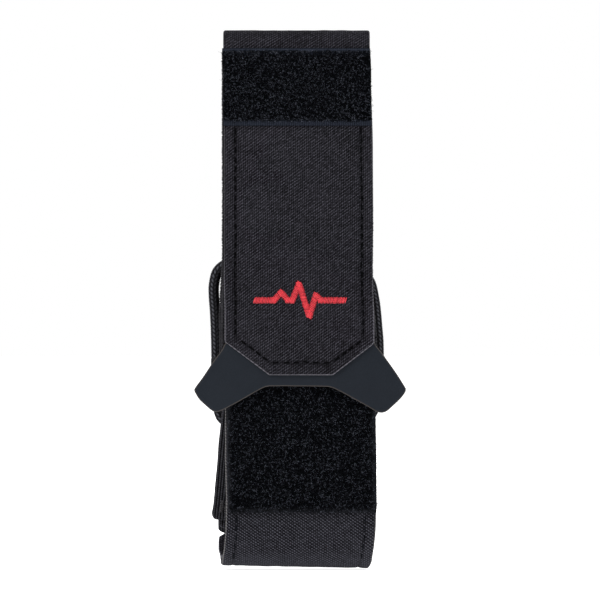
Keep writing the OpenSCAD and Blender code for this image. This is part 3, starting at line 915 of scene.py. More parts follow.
# ---------------------------------------------------------------- flap
fold_depth = FLAP_FRONT - TOP_BEND
# edge_bias narrows the painted edge highlight higher up the flap
flap_cloth = ribbon(
    "flap_cloth",
    join(line((FLAP_FRONT, TIP_Z), (FLAP_FRONT, FOLD_Z), 0.8),
         arc(fold_depth, FOLD_Z, TOP_BEND, 0, 90, 16),
         line((fold_depth, TOP_Z), (10.9, TOP_Z), 0.9)),
    thickness=lambda at: 0.9 + 0.3 * smooth(60, 67, at.z) * smooth(16, 21, at.depth),
    left=lambda at: face_left(at.z), right=lambda at: face_right(at.z),
    material=FLAP_TWILL, step=0.62, seed=2, fuzz=0.03, warp=flap_warp, dents=seam_dent,
    edge_bias=lambda z: 0.22 * smooth(-6, 14, z))
assign(flap_cloth, "flap bend", replaces="flap_face")

# the lining lies further back and thinner at the tip
lining_path = line((26.05, TIP_Z + 1.0), (26.05, 66.4), 1.0)
lining_path[:, 0] = 25.1 + 0.95 * smooth(-8.5, -5.0, lining_path[:, 1])
lining = ribbon(
    "flap_lining_cloth", lining_path,
    thickness=lambda at: 0.66 + 0.95 * smooth(-8.5, -5.0, at.z),
    left=lambda at: np.maximum(lining_left(at.z), -TIP_HALF - (at.z - TIP_Z - 0.6) * 2.2),
    right=lambda at: np.minimum(face_right(np.maximum(at.z, -9)) - 0.3,
                                TIP_HALF + (at.z - TIP_Z - 0.6) * 2.0),
    material=LINING, step=0.9, seed=3, warp=flap_warp)
assign(lining, "flap bend", replaces="flap_lining")


def selvage_nubs():
    """Weft yarn turning round the lining's woven edges."""
    rng = np.random.default_rng(33)
    angle = np.linspace(0.0, PI, 7)
    centres = []
    for side in (-1, 1):
        for z in np.arange(-14.2, 65.5, 0.44):
            if side > 0 and z < -12:
                continue
            edge = float(lining_left(z) if side < 0 else face_right(max(z, -9))) - 0.1
            nub_z = z + rng.normal(0, 0.04)
            reach = 1.02 + rng.normal(0, 0.035)
            x = edge - side * 0.95 + side * reach * np.sin(angle) ** 0.75
            depth = (25.55 - 0.85 * float(smooth(-5, -8.5, z)) + 0.62 * np.cos(angle)
                     + float(flap_warp(edge, z)))
            centres.append(np.stack([x, depth, nub_z + 0.12 * np.cos(angle)], 1))
    return tubes("lining_selvage_nubs", centres, np.full((len(centres), 7), 0.23),
                 SELVAGE_YARN, sides=6)


assign(selvage_nubs(), "flap bend")

# Outline of the tab as (x, z): two wings with rounded tips, then wandering cut edges.
TAB_OUTLINE = [
    (-12, -8.4), (-19.0, -11.0), (-20.9, -13.6), (-23.6, -17.3), (-26.2, -21.1),
    (-27.75, -23.2), (-28.15, -24.1), (-27.75, -25.1), (-26.8, -26.5), (-25.2, -28.0),
    (-23.8, -29.3), (-22.4, -29.95), (-20.8, -29.5), (-18.8, -28.5), (-14.8, -26.3),
    (-10.6, -23.9), (-8.6, -23.15), (-6, -23.05), (0, -23.1), (6, -23.15), (8.2, -23.35),
    (10.6, -24.4), (15.0, -26.8), (18.1, -28.5), (20.1, -29.7), (21.6, -30.1),
    (22.95, -29.75), (24.3, -28.7), (26.35, -26.8), (27.7, -25.1), (28.15, -24.0),
    (27.7, -22.8), (24.8, -18.4), (22.0, -14.5), (20.1, -12.2), (19.0, -10.8), (12, -8.4)]
tab_unevenness = waves(41, 4, 0.15, 0.4)


def tab_warp(x, z):
    wings = smooth(17, 30, np.abs(x))
    return flap_warp(np.clip(x, -19, 19), z) - 0.9 * wings + 0.12 * tab_unevenness(x, z)


tab_outline = densify(closed_spline(TAB_OUTLINE, 6), 0.5)
wobble = waves(43, 5, 0.5, 1.5)(tab_outline[:, 0], tab_outline[:, 1])
spokes = tab_outline - tab_outline.mean(0)
tab_outline = tab_outline + (0.035 * wobble)[:, None] * spokes / np.linalg.norm(
    spokes, axis=1)[:, None]
pull_tab = plate("pull_tab_sheet", tab_outline, back=25.15, front=26.02, material=COATED_TAB,
                 warp=tab_warp, step=0.8, edge_radius=0.22)
assign(pull_tab, "flap", replaces="pull_tab")


# flap seams: both sides, both cut corners and the tip
side_z = np.linspace(46.0, -9.8, 40)
cut_z = np.linspace(-10.8, TIP_Z + TIP_SEAM_RISE + 0.3, 20)
cut_inset = SEAM_INSET * math.sqrt(1 + CUT_SLOPE * CUT_SLOPE)
seam_left = cut_left(cut_z) + cut_inset
seam_right = cut_right(cut_z) - cut_inset
flap_seams = [
    np.stack([face_left(side_z) + SEAM_INSET, side_z], 1),
    np.stack([face_right(side_z) - SEAM_INSET, side_z], 1),
    np.stack([seam_left, cut_z], 1),
    np.stack([seam_right, cut_z], 1),
    [[seam_left[-1] + 0.6, TIP_Z + TIP_SEAM_RISE], [seam_right[-1] - 0.6, TIP_Z + TIP_SEAM_RISE]]]
flap_threads = sew("flap_threads", [
    stitches(seam, lambda x, z: FLAP_FRONT + flap_warp(x, z) - seam_dent(x, z), seed=50 + i,
             pitch=2.55, length=1.85, radius=0.25, jitter=0.17)
    for i, seam in enumerate(flap_seams)], BLACK_THREAD)
assign(flap_threads, "flap bend", replaces="flap_stitching")

# Corners of the pulse mark as (x, z), before its shift to the right.
PULSE_MARK = [(-11.9, -0.2), (-7.0, -0.2), (-5.2, 1.9), (-3.4, -0.2), (-2.2, -0.2),
              (-0.4, 4.15), (2.3, -4.35), (4.1, 1.2), (5.3, -0.2), (11.6, -0.2)]
MARK_SHIFT = 0.15


def pulse_mark():
    """Satin stitch: each stroke is laid as cross threads."""
    stroke_width, overrun, thread_pitch = 1.6, 0.55, 0.38
    rng = np.random.default_rng(77)
    corners = np.array(PULSE_MARK)
    corners[:, 0] += MARK_SHIFT
    u = np.linspace(-0.5, 0.5, 9)
    centres = []
    for start, end in zip(corners[:-1], corners[1:]):
        length = np.linalg.norm(end - start)
        along = (end - start) / length
        across = np.array([-along[1], along[0]])
        slant = along * 0.22
        reach = length + 2 * overrun
        count = int(reach / thread_pitch)
        for i in range(count):
            place = -overrun + reach * (i + 0.5) / count + rng.normal(0, 0.02)
            over = max(0.0, -place, place - length)
            taper = math.sqrt(max(0.05, 1 - (over / (overrun + 0.25)) ** 2))
            width = stroke_width * taper * (1 + rng.normal(0, 0.035))
            x, z = (start[k] + along[k] * place + across[k] * width * u + slant[k] * u * 2
                    for k in (0, 1))
            crown = np.sqrt(np.clip(1 - (2 * np.abs(u)) ** 2.4, 0, 1))
            height = 0.36 * crown - 0.06 + rng.normal(0, 0.02)
            centres.append(np.stack([x, FLAP_FRONT + flap_warp(x, z) + height, z], 1))
    radii = np.tile(0.16 * (1 - 0.3 * (2 * np.abs(u)) ** 4), (len(centres), 1))
    return tubes("pulse_mark_threads", centres, radii, RED_THREAD, sides=6)


assign(pulse_mark(), "flap", replaces="flap_mark")


# ---------------------------------------------------------------- pile strips
def fibres(name, count, left, right, low, high, surface, seed, heights=(0.22, 0.62),
           low_clear=0.6, high_clear=0.6):
    """Short curled loops over a strip from z = low to high, kept clear of its ends."""
    rng = np.random.default_rng(seed)
    z = rng.uniform(low + low_clear * 0.6, high - high_clear * 0.6, count)
    x = left(z) + 0.1 + (right(z) - left(z) - 0.2) * rng.random(count)
    heading = rng.uniform(0, 2 * PI, count)[:, None]
    length = rng.uniform(0.3, 0.85, count)[:, None]
    height = rng.uniform(*heights, count)[:, None]
    t = np.linspace(0, 1, 4)[None]
    bend = rng.normal(0, 0.32, count)[:, None] * np.sin(PI * t)
    fibre_x = x[:, None] + np.cos(heading) * length * (t - 0.5) - np.sin(heading) * bend
    fibre_z = z[:, None] + np.sin(heading) * length * (t - 0.5) + np.cos(heading) * bend
    ragged = rng.random(count)[:, None] ** 0.6
    fibre_z = np.clip(fibre_z, low + low_clear * ragged, high - high_clear * ragged)
    reach = rng.uniform(0.75, 1.1, count)[:, None]
    rise = np.sin(PI * np.clip(t * reach, 0, 1)) * height
    centres = np.stack([fibre_x, surface(fibre_x, fibre_z) - 0.12 + rise, fibre_z], -1)
    radii = 0.046 * rng.uniform(0.7, 1.15, count)[:, None] * (1 - 0.35 * t)
    return tubes(name, centres, radii, PILE, sides=3, tones=rng.random(count))


def wisps(name, roots, surface, seed):
    """Loose fibres; each root is x, z, direction in x, direction in z, length."""
    rng = np.random.default_rng(seed)
    t = np.linspace(0, 1, 12)
    centres = []

    def trail(start, heading, length):
        curl = np.sin(t * rng.uniform(3, 7) + rng.uniform(0, 6))
        return start + heading * length * t + 0.16 * length * curl * t

    for x, z, heading_x, heading_z, length in roots:
        wisp_x = trail(x, heading_x, length)
        wisp_z = trail(z, heading_z, length)
        depth = surface(x, z) + 0.15 + 0.3 * np.sin(t * 3)
        centres.append(np.stack([wisp_x, depth, wisp_z], 1))
    radii = np.tile(0.045 * (1 - 0.5 * t), (len(centres), 1))
    return tubes(name, centres, radii, PILE, sides=3)


UPPER_LOW, UPPER_HIGH = 46.05, 66.7         # z range of the upper tape
UPPER_FRONT = FLAP_FRONT + 1.0
LOWER_LOW, LOWER_HIGH = -56.7, 18.0         # z range of the lower tape
LOWER_FRONT = POCKET_FRONT + 1.05
pile_unevenness = waves(61, 8, 1.2, 3.2)


def upper_surface(x, z):
    return UPPER_FRONT + flap_warp(x, z) + 0.06 * pile_unevenness(x, z)


def lower_surface(x, z):
    return LOWER_FRONT + pocket_warp(x, z) + 0.06 * pile_unevenness(x, z + 40)


upper_tape = ribbon(
    "upper_pile_tape", line((UPPER_FRONT, UPPER_LOW), (UPPER_FRONT, UPPER_HIGH), 0.5),
    thickness=0.95,
    left=lambda at: -20.7 + 0.3 * smooth(66, 60, at.z) + 0.08 * wiggle_left(at.z * 2, 5),
    right=lambda at: 18.7 + 0.35 * smooth(66, 46, at.z) + 0.08 * wiggle_right(at.z * 2, 9),
    material=UPPER_PILE_BASE, step=0.5, seed=6, warp=flap_warp,
    dents=lambda x, z: (-0.06 * pile_unevenness(x, z)
                        + 0.35 * (bell(z - UPPER_LOW, 0.9) + bell(z - UPPER_HIGH, 0.9))))
assign(upper_tape, "flap bend", replaces="flap_loop_patch")

# z range, then the clearance below and above
UPPER_FIELDS = [(UPPER_LOW, 56.6, 1.95, 0.0), (56.4, UPPER_HIGH, 0.0, 0.95)]
for i, (low, high, low_clear, high_clear) in enumerate(UPPER_FIELDS):
    loops = fibres("upper_pile_loops_%d" % (i + 1), 9000,
                   lambda z: -20.68 + 0.3 * smooth(66, 60, z),
                   lambda z: 18.75 + 0.35 * smooth(66, 46, z), low, high, upper_surface,
                   seed=101 + i, low_clear=low_clear, high_clear=high_clear)
    assign(loops, "flap bend")
UPPER_WISPS = [(-20.3, 65.2, -0.9, 0.3, 1.3), (-20.3, 63.6, -0.8, -0.5, 1.0),
               (-20.6, 58.0, -0.9, 0.4, 0.7), (-20.4, 51.5, -0.9, -0.2, 0.7),
               (18.7, 61.0, 0.9, 0.3, 0.7), (19.0, 50.2, 0.8, -0.5, 0.7)]
assign(wisps("upper_pile_wisps", UPPER_WISPS, upper_surface, seed=111), "flap bend")

# ---------------------------------------------------------------- pocket
# Corrections to the pocket's side edges: z, then the shift in x at that z.
POCKET_LEFT_Z = [-71.7, -70, -66, -62, -54, -48, -40]
POCKET_LEFT_SHIFT = [-0.3, -0.25, -0.2, 0.1, 0.2, 0.1, 0.0]
POCKET_RIGHT_Z = [-71.7, -71, -70, -68, -65.8, -62, -58, -54.7, -51, -47, -43.5, -40, -36,
                  -28, -20]
POCKET_RIGHT_SHIFT = [-1.0, -0.6, -0.25, -0.1, 0.07, 0.17, 0.19, 0.33, 0.2, 0.1, 0.03, -0.07,
                      -0.12, -0.12, 0.0]
POCKET_SEAM_INSET = 2.9


def pocket_left(z):
    return (-19.95 - 0.75 * smooth(-65.5, -71.7, z)
            + np.interp(z, POCKET_LEFT_Z, POCKET_LEFT_SHIFT) + 0.05 * wiggle_left(z, 40))


def pocket_right(z):
    return (20.3 - 1.2 * smooth(-10, 6, z) - 0.1 * smooth(-54, -58, z)
            - 0.85 * smooth(-58, -71.7, z)
            + np.interp(z, POCKET_RIGHT_Z, POCKET_RIGHT_SHIFT) + 0.06 * wiggle_right(z, 50))


def pocket_dent(x, z):
    """Furrows of the side seams below the pile."""
    left = x - (pocket_left(z) + POCKET_SEAM_INSET)
    right = x - (pocket_right(z) - POCKET_SEAM_INSET)
    return 0.2 * (bell(left, 0.5) + bell(right, 0.5)) * smooth(-56, -58, z)


sole_depth = POCKET_FRONT - BOTTOM_BEND
pocket = ribbon(
    "pocket_cloth",
    join(line((10.4, BOTTOM_Z), (sole_depth, BOTTOM_Z), 0.6),
         arc(sole_depth, SOLE_Z, BOTTOM_BEND, -90, 0, 26),
         line((POCKET_FRONT, SOLE_Z), (POCKET_FRONT, 20), 0.8)),
    thickness=lambda at: 0.9 + 0.1 * smooth(-70, -62, at.z),
    left=lambda at: pocket_left(at.z), right=lambda at: pocket_right(at.z),
    material=POCKET_TWILL, step=0.62, seed=8, fuzz=0.03, warp=pocket_warp, dents=pocket_dent,
    sag=bottom_sag)
assign(pocket, "pocket bend", replaces="pocket_panel")

lower_tape = ribbon(
    "lower_pile_tape", line((LOWER_FRONT, LOWER_LOW), (LOWER_FRONT, LOWER_HIGH), 0.6),
    thickness=1.0,
    left=lambda at: pocket_left(at.z) + 0.42, right=lambda at: pocket_right(at.z) - 0.05,
    material=LOWER_PILE_BASE, step=0.55, seed=7, warp=pocket_warp,
    dents=lambda x, z: -0.06 * pile_unevenness(x, z + 40) + 0.35 * bell(z - LOWER_LOW, 0.9))
assign(lower_tape, "pocket", replaces="pocket_loop_patch")


def lower_pile_left(z):
    return pocket_left(z) + 0.72


# z range, then the clearance below
LOWER_FIELDS = [(LOWER_LOW, -43.4, -0.1), (-43.6, -30.1, 0), (-30.3, -17.0, 0)]
for i, (low, high, low_clear) in enumerate(LOWER_FIELDS):
    loops = fibres("lower_pile_loops_%d" % (i + 1), 8500, lower_pile_left, pocket_right, low,
                   high, lower_surface, seed=112 + i, low_clear=low_clear, high_clear=0.0)
    assign(loops, "pocket")
# shorter loops where the flap covers the tape
assign(fibres("inner_pile_loops", 8000, lower_pile_left, pocket_right, -17.2, LOWER_HIGH,
              lower_surface, seed=103, heights=(0.1, 0.3), high_clear=0.7), "pocket")
LOWER_WISPS = [(20.3, -41.6, 0.9, 0.35, 2.0), (20.3, -42.4, 0.8, -0.5, 1.6),
               (20.3, -52.2, 0.9, 0.2, 1.6), (20.2, -49.0, 0.8, 0.6, 0.8),
               (20.3, -33.0, 0.9, -0.3, 0.7), (-19.5, -45.0, -0.8, 0.4, 0.5)]
assign(wisps("lower_pile_wisps", LOWER_WISPS, lower_surface, seed=112), "pocket")


def fold_surface(x, z):
    """Front of the pocket cloth, following the bottom fold round."""
    drop = SOLE_Z - np.clip(z, -71.6, SOLE_Z)
    bent = sole_depth + np.sqrt(np.clip(BOTTOM_BEND ** 2 - drop ** 2, 0, None))
    return np.where(z < SOLE_Z, bent, POCKET_FRONT) + pocket_warp(x, z) - 0.2


# two side seams down to the fold, then one row through the lower edge of the pile
seam_z = np.linspace(-57.4, -69.6, 20)
pocket_seams = [pocket_left(seam_z) + POCKET_SEAM_INSET, pocket_right(seam_z) - POCKET_SEAM_INSET]
pocket_rows = [stitches(np.stack([seam_x, seam_z], 1), fold_surface, seed=70 + i, pitch=2.7,
                        length=1.8, radius=0.2, jitter=0.16)
               for i, seam_x in enumerate(pocket_seams)]
pocket_rows.append(stitches([(-17.5, LOWER_LOW + 1.1), (18.3, LOWER_LOW + 1.1)],
                            lambda x, z: lower_surface(x, z) - 0.25, seed=80, pitch=2.8,
                            length=1.9, radius=0.17))
POCKET_THREAD = thread_material("thread_pocket", base=(0.0042, 0.0052, 0.0074), specular=0.03,
                                rough=0.7, sheen=0.0)
assign(sew("pocket_threads", pocket_rows, POCKET_THREAD), "pocket bend",
       replaces="pocket_stitching")

# ---------------------------------------------------------------- hook patch behind the flap
HOOK_OUTLINE = np.array([(-17, 18), (17, 18), (17, -8.6), (8.0, -16.4), (-8.0, -16.4),
                         (-17, -8.6)], float)
hook_base = plate("hook_patch_base", HOOK_OUTLINE, back=23.95, front=24.38,
                  material=HOOK_BASE, warp=flap_warp, step=1.1, edge_radius=0.15)
assign(hook_base, "flap", replaces="flap_hook_patch")


def hook_field():
    """Rows of small hooks facing back towards the pocket, curling up and down by turns."""
    pitch = 0.95
    x, z = np.meshgrid(np.arange(-16.2, 16.4, pitch), np.arange(-15.6, 17.4, pitch))
    x, z = x.ravel(), z.ravel()
    keep = inside(x, z, HOOK_OUTLINE) & (outline_distance(x, z, HOOK_OUTLINE) > 0.6)
    x, z = x[keep], z[keep]
    count = len(x)
    rng = np.random.default_rng(15)
    x = x + rng.normal(0, 0.07, count)
    z = z + rng.normal(0, 0.07, count)
    t = np.linspace(0, 1, 6)[None]
    sign = np.where(np.arange(count) % 2 == 0, 1.0, -1.0)[:, None]
    hook_z = z[:, None] + sign * 0.34 * np.sin(t * PI) * t
    hook_x = x[:, None] + rng.normal(0, 0.05, count)[:, None] * t
    reach = 0.52 * np.sin(np.clip(t * 1.35, 0, 1.3) * PI / 2)
    depth = 23.98 + flap_warp(hook_x, hook_z) - reach
    return tubes("hook_patch_hooks", np.stack([hook_x, depth, hook_z], -1),
                 0.085 * (1 - 0.4 * t) + 0 * hook_x, HOOK, sides=4)


assign(hook_field(), "flap")

# ---------------------------------------------------------------- carrier band
TUNNEL_TOP, TUNNEL_BOTTOM = 12.0, -36.5
TUNNEL_SEAMS = (TUNNEL_TOP + 3, TUNNEL_TOP + 6, TUNNEL_BOTTOM - 3, TUNNEL_BOTTOM - 5)


def band_left(at):
    return -20.35 - 1.0 * smooth(-62, -70.6, at.z) + 0.05 * wiggle_left(at.z, 80)


def band_right(at):
    return (19.7 - 1.0 * smooth(40, 71.7, at.z) - 0.8 * smooth(-58, -71.7, at.z)
            - 0.7 * smooth(-69.3, -71.7, at.z) + 0.05 * wiggle_right(at.z, 90))


# Where the band's ends tuck in at the top and the bottom, as (depth, z).
TOP_TUCK = np.array([(12.4, 70.72), (11.7, 70.78), (11.1, 70.98), (10.6, 71.3), (10.1, 71.58),
                     (9.5, TOP_Z)])
BOTTOM_TUCK = np.array([(9, BOTTOM_Z), (9.5, -71.62), (10.0, -71.35), (10.5, -71.02),
                        (11.1, -70.82), (11.8, -70.76), (13.2, -70.72), (14.4, -70.45),
                        (15.5, -70.05), (16.4, -69.55)])
band = ribbon(
    "band_cloth",
    join(line((17.5, 70.72), (12.4, 70.72), 0.9), TOP_TUCK,
         line((9.5, TOP_Z), (TOP_BEND, TOP_Z), 0.9),
         arc(TOP_BEND, FOLD_Z, TOP_BEND, 90, 180, 16),
         line((0, FOLD_Z), (0, SOLE_Z), 0.9),
         arc(BOTTOM_BEND, SOLE_Z, BOTTOM_BEND, 180, 270, 26), BOTTOM_TUCK),
    thickness=1.2, left=band_left, right=band_right, material=BAND, step=0.75, seed=11,
    fuzz=0.03, sag=bottom_sag,
    dents=lambda x, z: sum(0.22 * bell(z - seam, 0.5) for seam in TUNNEL_SEAMS))
assign(band, "carrier", replaces="band_wrap")

band_rows = []
for i, seam in enumerate(TUNNEL_SEAMS):
    centres, radii = stitches([(-17, seam), (17, seam)], level(0), seed=90 + i, pitch=2.8,
                              length=1.9, radius=0.2)
    # turned to face the back
    centres[:, :, 1] = -centres[:, :, 1] + 0.15
    band_rows.append((centres, radii))
for i, row_depth in enumerate((12.2, 15.6)):
    centres, radii = stitches([(-17.5, 0), (16.6, 0)], level(0), seed=95 + i, pitch=2.8,
                              length=1.9, radius=0.19)
    # laid over the top of the carrier
    height = centres[:, :, 1].copy()
    centres[:, :, 1] = row_depth + centres[:, :, 2]
    centres[:, :, 2] = 71.68 + height
    band_rows.append((centres, radii))
assign(sew("band_threads", band_rows, BLACK_THREAD), "carrier",
       replaces="tunnel_stitching")

# cloth that stands off the band between the seams, listed from the top down
FLAT_DEPTH, RAISED_DEPTH = 2.05, 4.95
tunnel_path = join(
    line((FLAT_DEPTH, TUNNEL_TOP + 8), (FLAT_DEPTH, TUNNEL_TOP + 1.2), 0.9),
    np.array([(FLAT_DEPTH, TUNNEL_TOP + 1.2), (2.5, TUNNEL_TOP + 0.2), (4.3, TUNNEL_TOP - 0.2),
              (4.85, TUNNEL_TOP - 0.9), (RAISED_DEPTH, TUNNEL_TOP - 1.6)]),
    line((RAISED_DEPTH, TUNNEL_TOP - 1.6), (RAISED_DEPTH, TUNNEL_BOTTOM + 1.6), 0.9),
    np.array([(RAISED_DEPTH, TUNNEL_BOTTOM + 1.6), (4.85, TUNNEL_BOTTOM + 0.9),
              (4.3, TUNNEL_BOTTOM + 0.2), (2.5, TUNNEL_BOTTOM - 0.2),
              (2.1, TUNNEL_BOTTOM - 0.9)]),
    line((FLAT_DEPTH, TUNNEL_BOTTOM - 1.2), (FLAT_DEPTH, TUNNEL_BOTTOM - 7), 0.9))
tunnel = ribbon("tunnel_lining_cloth", tunnel_path[::-1], thickness=0.75, left=-19.6,
                right=19.4, material=LINING, step=1.0, seed=12)
assign(tunnel, "carrier", replaces="tunnel_lining")


def tail_left(at):
    """Narrow above, stepping out to a wider lower part."""
    z = at.z
    wide = -21.75 - 0.25 * smooth(-63.4, -66, z) + 0.55 * smooth(-67.8, -70.4, z)
    narrow = -19.6
    step_top, step_height = -62.8, 1.5
    stepping = narrow + (wide - narrow) * (step_top - z) / step_height
    return np.where(z > step_top, narrow, np.where(z > -64.3, stepping, wide))


TAIL_DEPTH = 1.3
rear_tail = ribbon(
    "rear_tail_cloth",
    join(line((TAIL_DEPTH, -45), (TAIL_DEPTH, SOLE_Z), 0.9),
         arc(BOTTOM_BEND, SOLE_Z, BOTTOM_BEND - TAIL_DEPTH, 180, 266, 22)),
    thickness=0.95, left=tail_left, right=18.0, material=FLAP_TWILL, step=0.9, seed=13,
    sag=bottom_sag)
assign(rear_tail, "carrier", replaces="rear_tail")

# ---------------------------------------------------------------- elastic cord
# Centre line of the closed ring as (x, z); it bulges past both sides of the band.
CORD_RING = [
    (-8, 10.0), (-15.5, 10.2), (-19.6, 9.6), (-22.2, 7.6), (-23.15, 4.2), (-23.2, 1.0),
    (-22.85, -4), (-22.55, -12), (-22.4, -24), (-22.0, -29.5), (-20.2, -32.6), (-15, -33.3),
    (0, -33.3), (14, -33.2), (18.6, -31.6), (20.6, -27), (21.15, -20), (21.15, -12.5),
    (20.85, -8), (20.0, 0), (18.3, 5.6), (13.5, 8.4), (6, 9.2)]


def braided_cord():
    """Eight columns of leaning strands, neighbours leaning opposite ways."""
    columns, braid_pitch = 8, 1.12
    core_radius, relief = 1.28, 0.23
    centre_depth, sample_step, sides = 2.85, 0.13, 48
    curve = closed_spline(CORD_RING, 60)
    spans = np.linalg.norm(np.roll(curve, -1, 0) - curve, axis=1)
    run = np.concatenate([[0], np.cumsum(spans)])
    total = run[-1]
    count = int(total / sample_step)
    along = np.arange(count) * total / count
    centre_x = np.interp(along, run, np.append(curve[:, 0], curve[0, 0]))
    centre_z = np.interp(along, run, np.append(curve[:, 1], curve[0, 1]))
    tangent_x = np.roll(centre_x, -1) - np.roll(centre_x, 1)
    tangent_z = np.roll(centre_z, -1) - np.roll(centre_z, 1)
    length = np.hypot(tangent_x, tangent_z)
    angle = np.linspace(0, 2 * PI, sides, endpoint=False)[None]
    column = columns * angle / (2 * PI)
    in_column = column - np.floor(column) - 0.5
    sign = np.where(np.floor(column) % 2 == 0, 1.0, -1.0)
    strand = (along[:, None] / (total / round(total / braid_pitch)) + sign * in_column * 0.75
              + 0.25 * sign)
    weave = np.cos(PI * in_column * 0.96) ** 0.7 * np.abs(np.sin(PI * strand)) ** 0.55
    radius = core_radius + relief * weave
    x = centre_x[:, None] + (tangent_z / length)[:, None] * radius * np.cos(angle)
    z = centre_z[:, None] + (-tangent_x / length)[:, None] * radius * np.cos(angle)
    depth = centre_depth + radius * np.sin(angle)
    # painted shadow: the inner side of the cord is darker, as if shaded by the band
    shade = 0.12 + 0.88 * smooth(-0.80, 0.12, np.cos(angle))
    uv = np.stack([np.repeat(along, sides) * MM, np.tile(angle[0] / (2 * PI), count)], 1)
    cord = build("cord_braid", np.stack([x, depth, z], -1).reshape(-1, 3),
                 closed_quads(count + 1, sides) % (count * sides), uv,
                 {"rnd": (weave * shade).ravel()}, CORD)
    fix_normals(cord)
    return cord


assign(braided_cord(), "carrier", replaces="retention_cord")

# ---------------------------------------------------------------- tourniquet
STRAP_X, STRAP_HALF, STRAP_THICK = -1.6, 19, 1.1
REAR_LAYER, MIDDLE_LAYER, FRONT_LAYER = 5.1, 7.45, 8.8    # depths of the folded strap
LOWER_TURN_Z, UPPER_TURN_Z, STRAP_END_Z = -61.7, 60, -61.4
strap_waves = waves(31, 4, 0.05, 0.15)


def strap_ribs(x):
    return 0.03 * np.sin(x * 2 * PI / 1.24)


def strap_left(at):
    return (STRAP_X - STRAP_HALF + 0.12 * strap_waves(at.run, 0) - 1.3 * smooth(-42, -58, at.z)
            + end_corner(at.z, -62.85, 1.5) * (at.depth < 8)
            + end_corner(at.z, STRAP_END_Z, 1.5) * (at.depth > 8.2))


# one length: down the rear layer, up the middle one and down the front one
strap = ribbon(
    "strap_folds",
    join(line((REAR_LAYER, UPPER_TURN_Z), (REAR_LAYER, LOWER_TURN_Z), 1.2),
         arc((REAR_LAYER + MIDDLE_LAYER) / 2, LOWER_TURN_Z, (MIDDLE_LAYER - REAR_LAYER) / 2,
             180, 360, 16),
         line((MIDDLE_LAYER, LOWER_TURN_Z), (MIDDLE_LAYER, UPPER_TURN_Z), 1.2),
         arc((MIDDLE_LAYER + FRONT_LAYER) / 2, UPPER_TURN_Z, (FRONT_LAYER - MIDDLE_LAYER) / 2,
             180, 0, 14),
         line((FRONT_LAYER, UPPER_TURN_Z), (FRONT_LAYER, STRAP_END_Z), 1.2)),
    thickness=STRAP_THICK, left=strap_left,
    right=lambda at: (STRAP_X + STRAP_HALF + 0.12 * strap_waves(at.run, 9)
                      + 0.5 * smooth(30, 60, at.z)),
    material=STRAP, step=0.8, seed=14, ribs=strap_ribs)
assign(strap, "tourniquet", replaces="strap_stack")

TAIL_END_Z = -60.75
TAIL_LEAN = math.radians(5.2)
LEAN_X, LEAN_Z = -3.0, -45.0                # point the strap end leans about


def lean_over(piece):
    """Turns a mesh built upright to the lean of the strap end, in the x-z plane."""
    mesh = piece.data
    coords = np.zeros(len(mesh.vertices) * 3, np.float32)
    mesh.vertices.foreach_get("co", coords)
    coords = coords.reshape(-1, 3)
    x, z = coords[:, 0] / MM, coords[:, 2] / MM
    cosine, sine = math.cos(-TAIL_LEAN), math.sin(-TAIL_LEAN)
    turned_x = LEAN_X + (x - LEAN_X) * cosine - (z - LEAN_Z) * sine
    turned_z = LEAN_Z + (x - LEAN_X) * sine + (z - LEAN_Z) * cosine
    coords[:, 0], coords[:, 2] = turned_x * MM, turned_z * MM
    mesh.vertices.foreach_set("co", coords.ravel())
    mesh.update()


strap_end = ribbon(
    "strap_end_webbing", line((11.05, TAIL_END_Z), (11.05, -10), 0.8), thickness=STRAP_THICK,
    left=lambda at: (-22.3 + end_corner(at.z, TAIL_END_Z, 1.3)
                     - 0.2 * bell(at.z - TAIL_END_Z - 1.9, 0.8)
                     + 0.06 * strap_waves(at.run * 6, 1)),
    right=lambda at: 15.9 - end_corner(at.z, TAIL_END_Z, 2.2),
    material=STRAP, step=0.7, seed=16, ribs=strap_ribs,
    dents=lambda x, z: 0.18 * bell(z - TAIL_END_Z - 3.6, 1.6))
lean_over(strap_end)
assign(strap_end, "tourniquet", replaces="strap_tail")

tack_rows = [stitches([(-20.6, z), (14.4, z)], level(11.0), seed=130 + i, pitch=1.25,
                      length=1.05, radius=0.13, lift=0.12)
             for i, z in enumerate(np.arange(TAIL_END_Z + 2.2, TAIL_END_Z + 5.2, 0.42))]
TACK_THREAD = thread_material("thread_tack", base=(0.03, 0.03, 0.034))
tacks = sew("strap_tack_threads", tack_rows, TACK_THREAD, sides=5)
lean_over(tacks)
assign(tacks, "tourniquet", replaces="strap_bartacks")

time_tag = ribbon("time_tag_cloth", line((10.42, 36.5), (10.42, 57), 0.9), thickness=0.44,
                  left=-18.6, right=15.4, material=TAG, step=1.0, seed=17)
assign(time_tag, "tourniquet", replaces="time_tag")


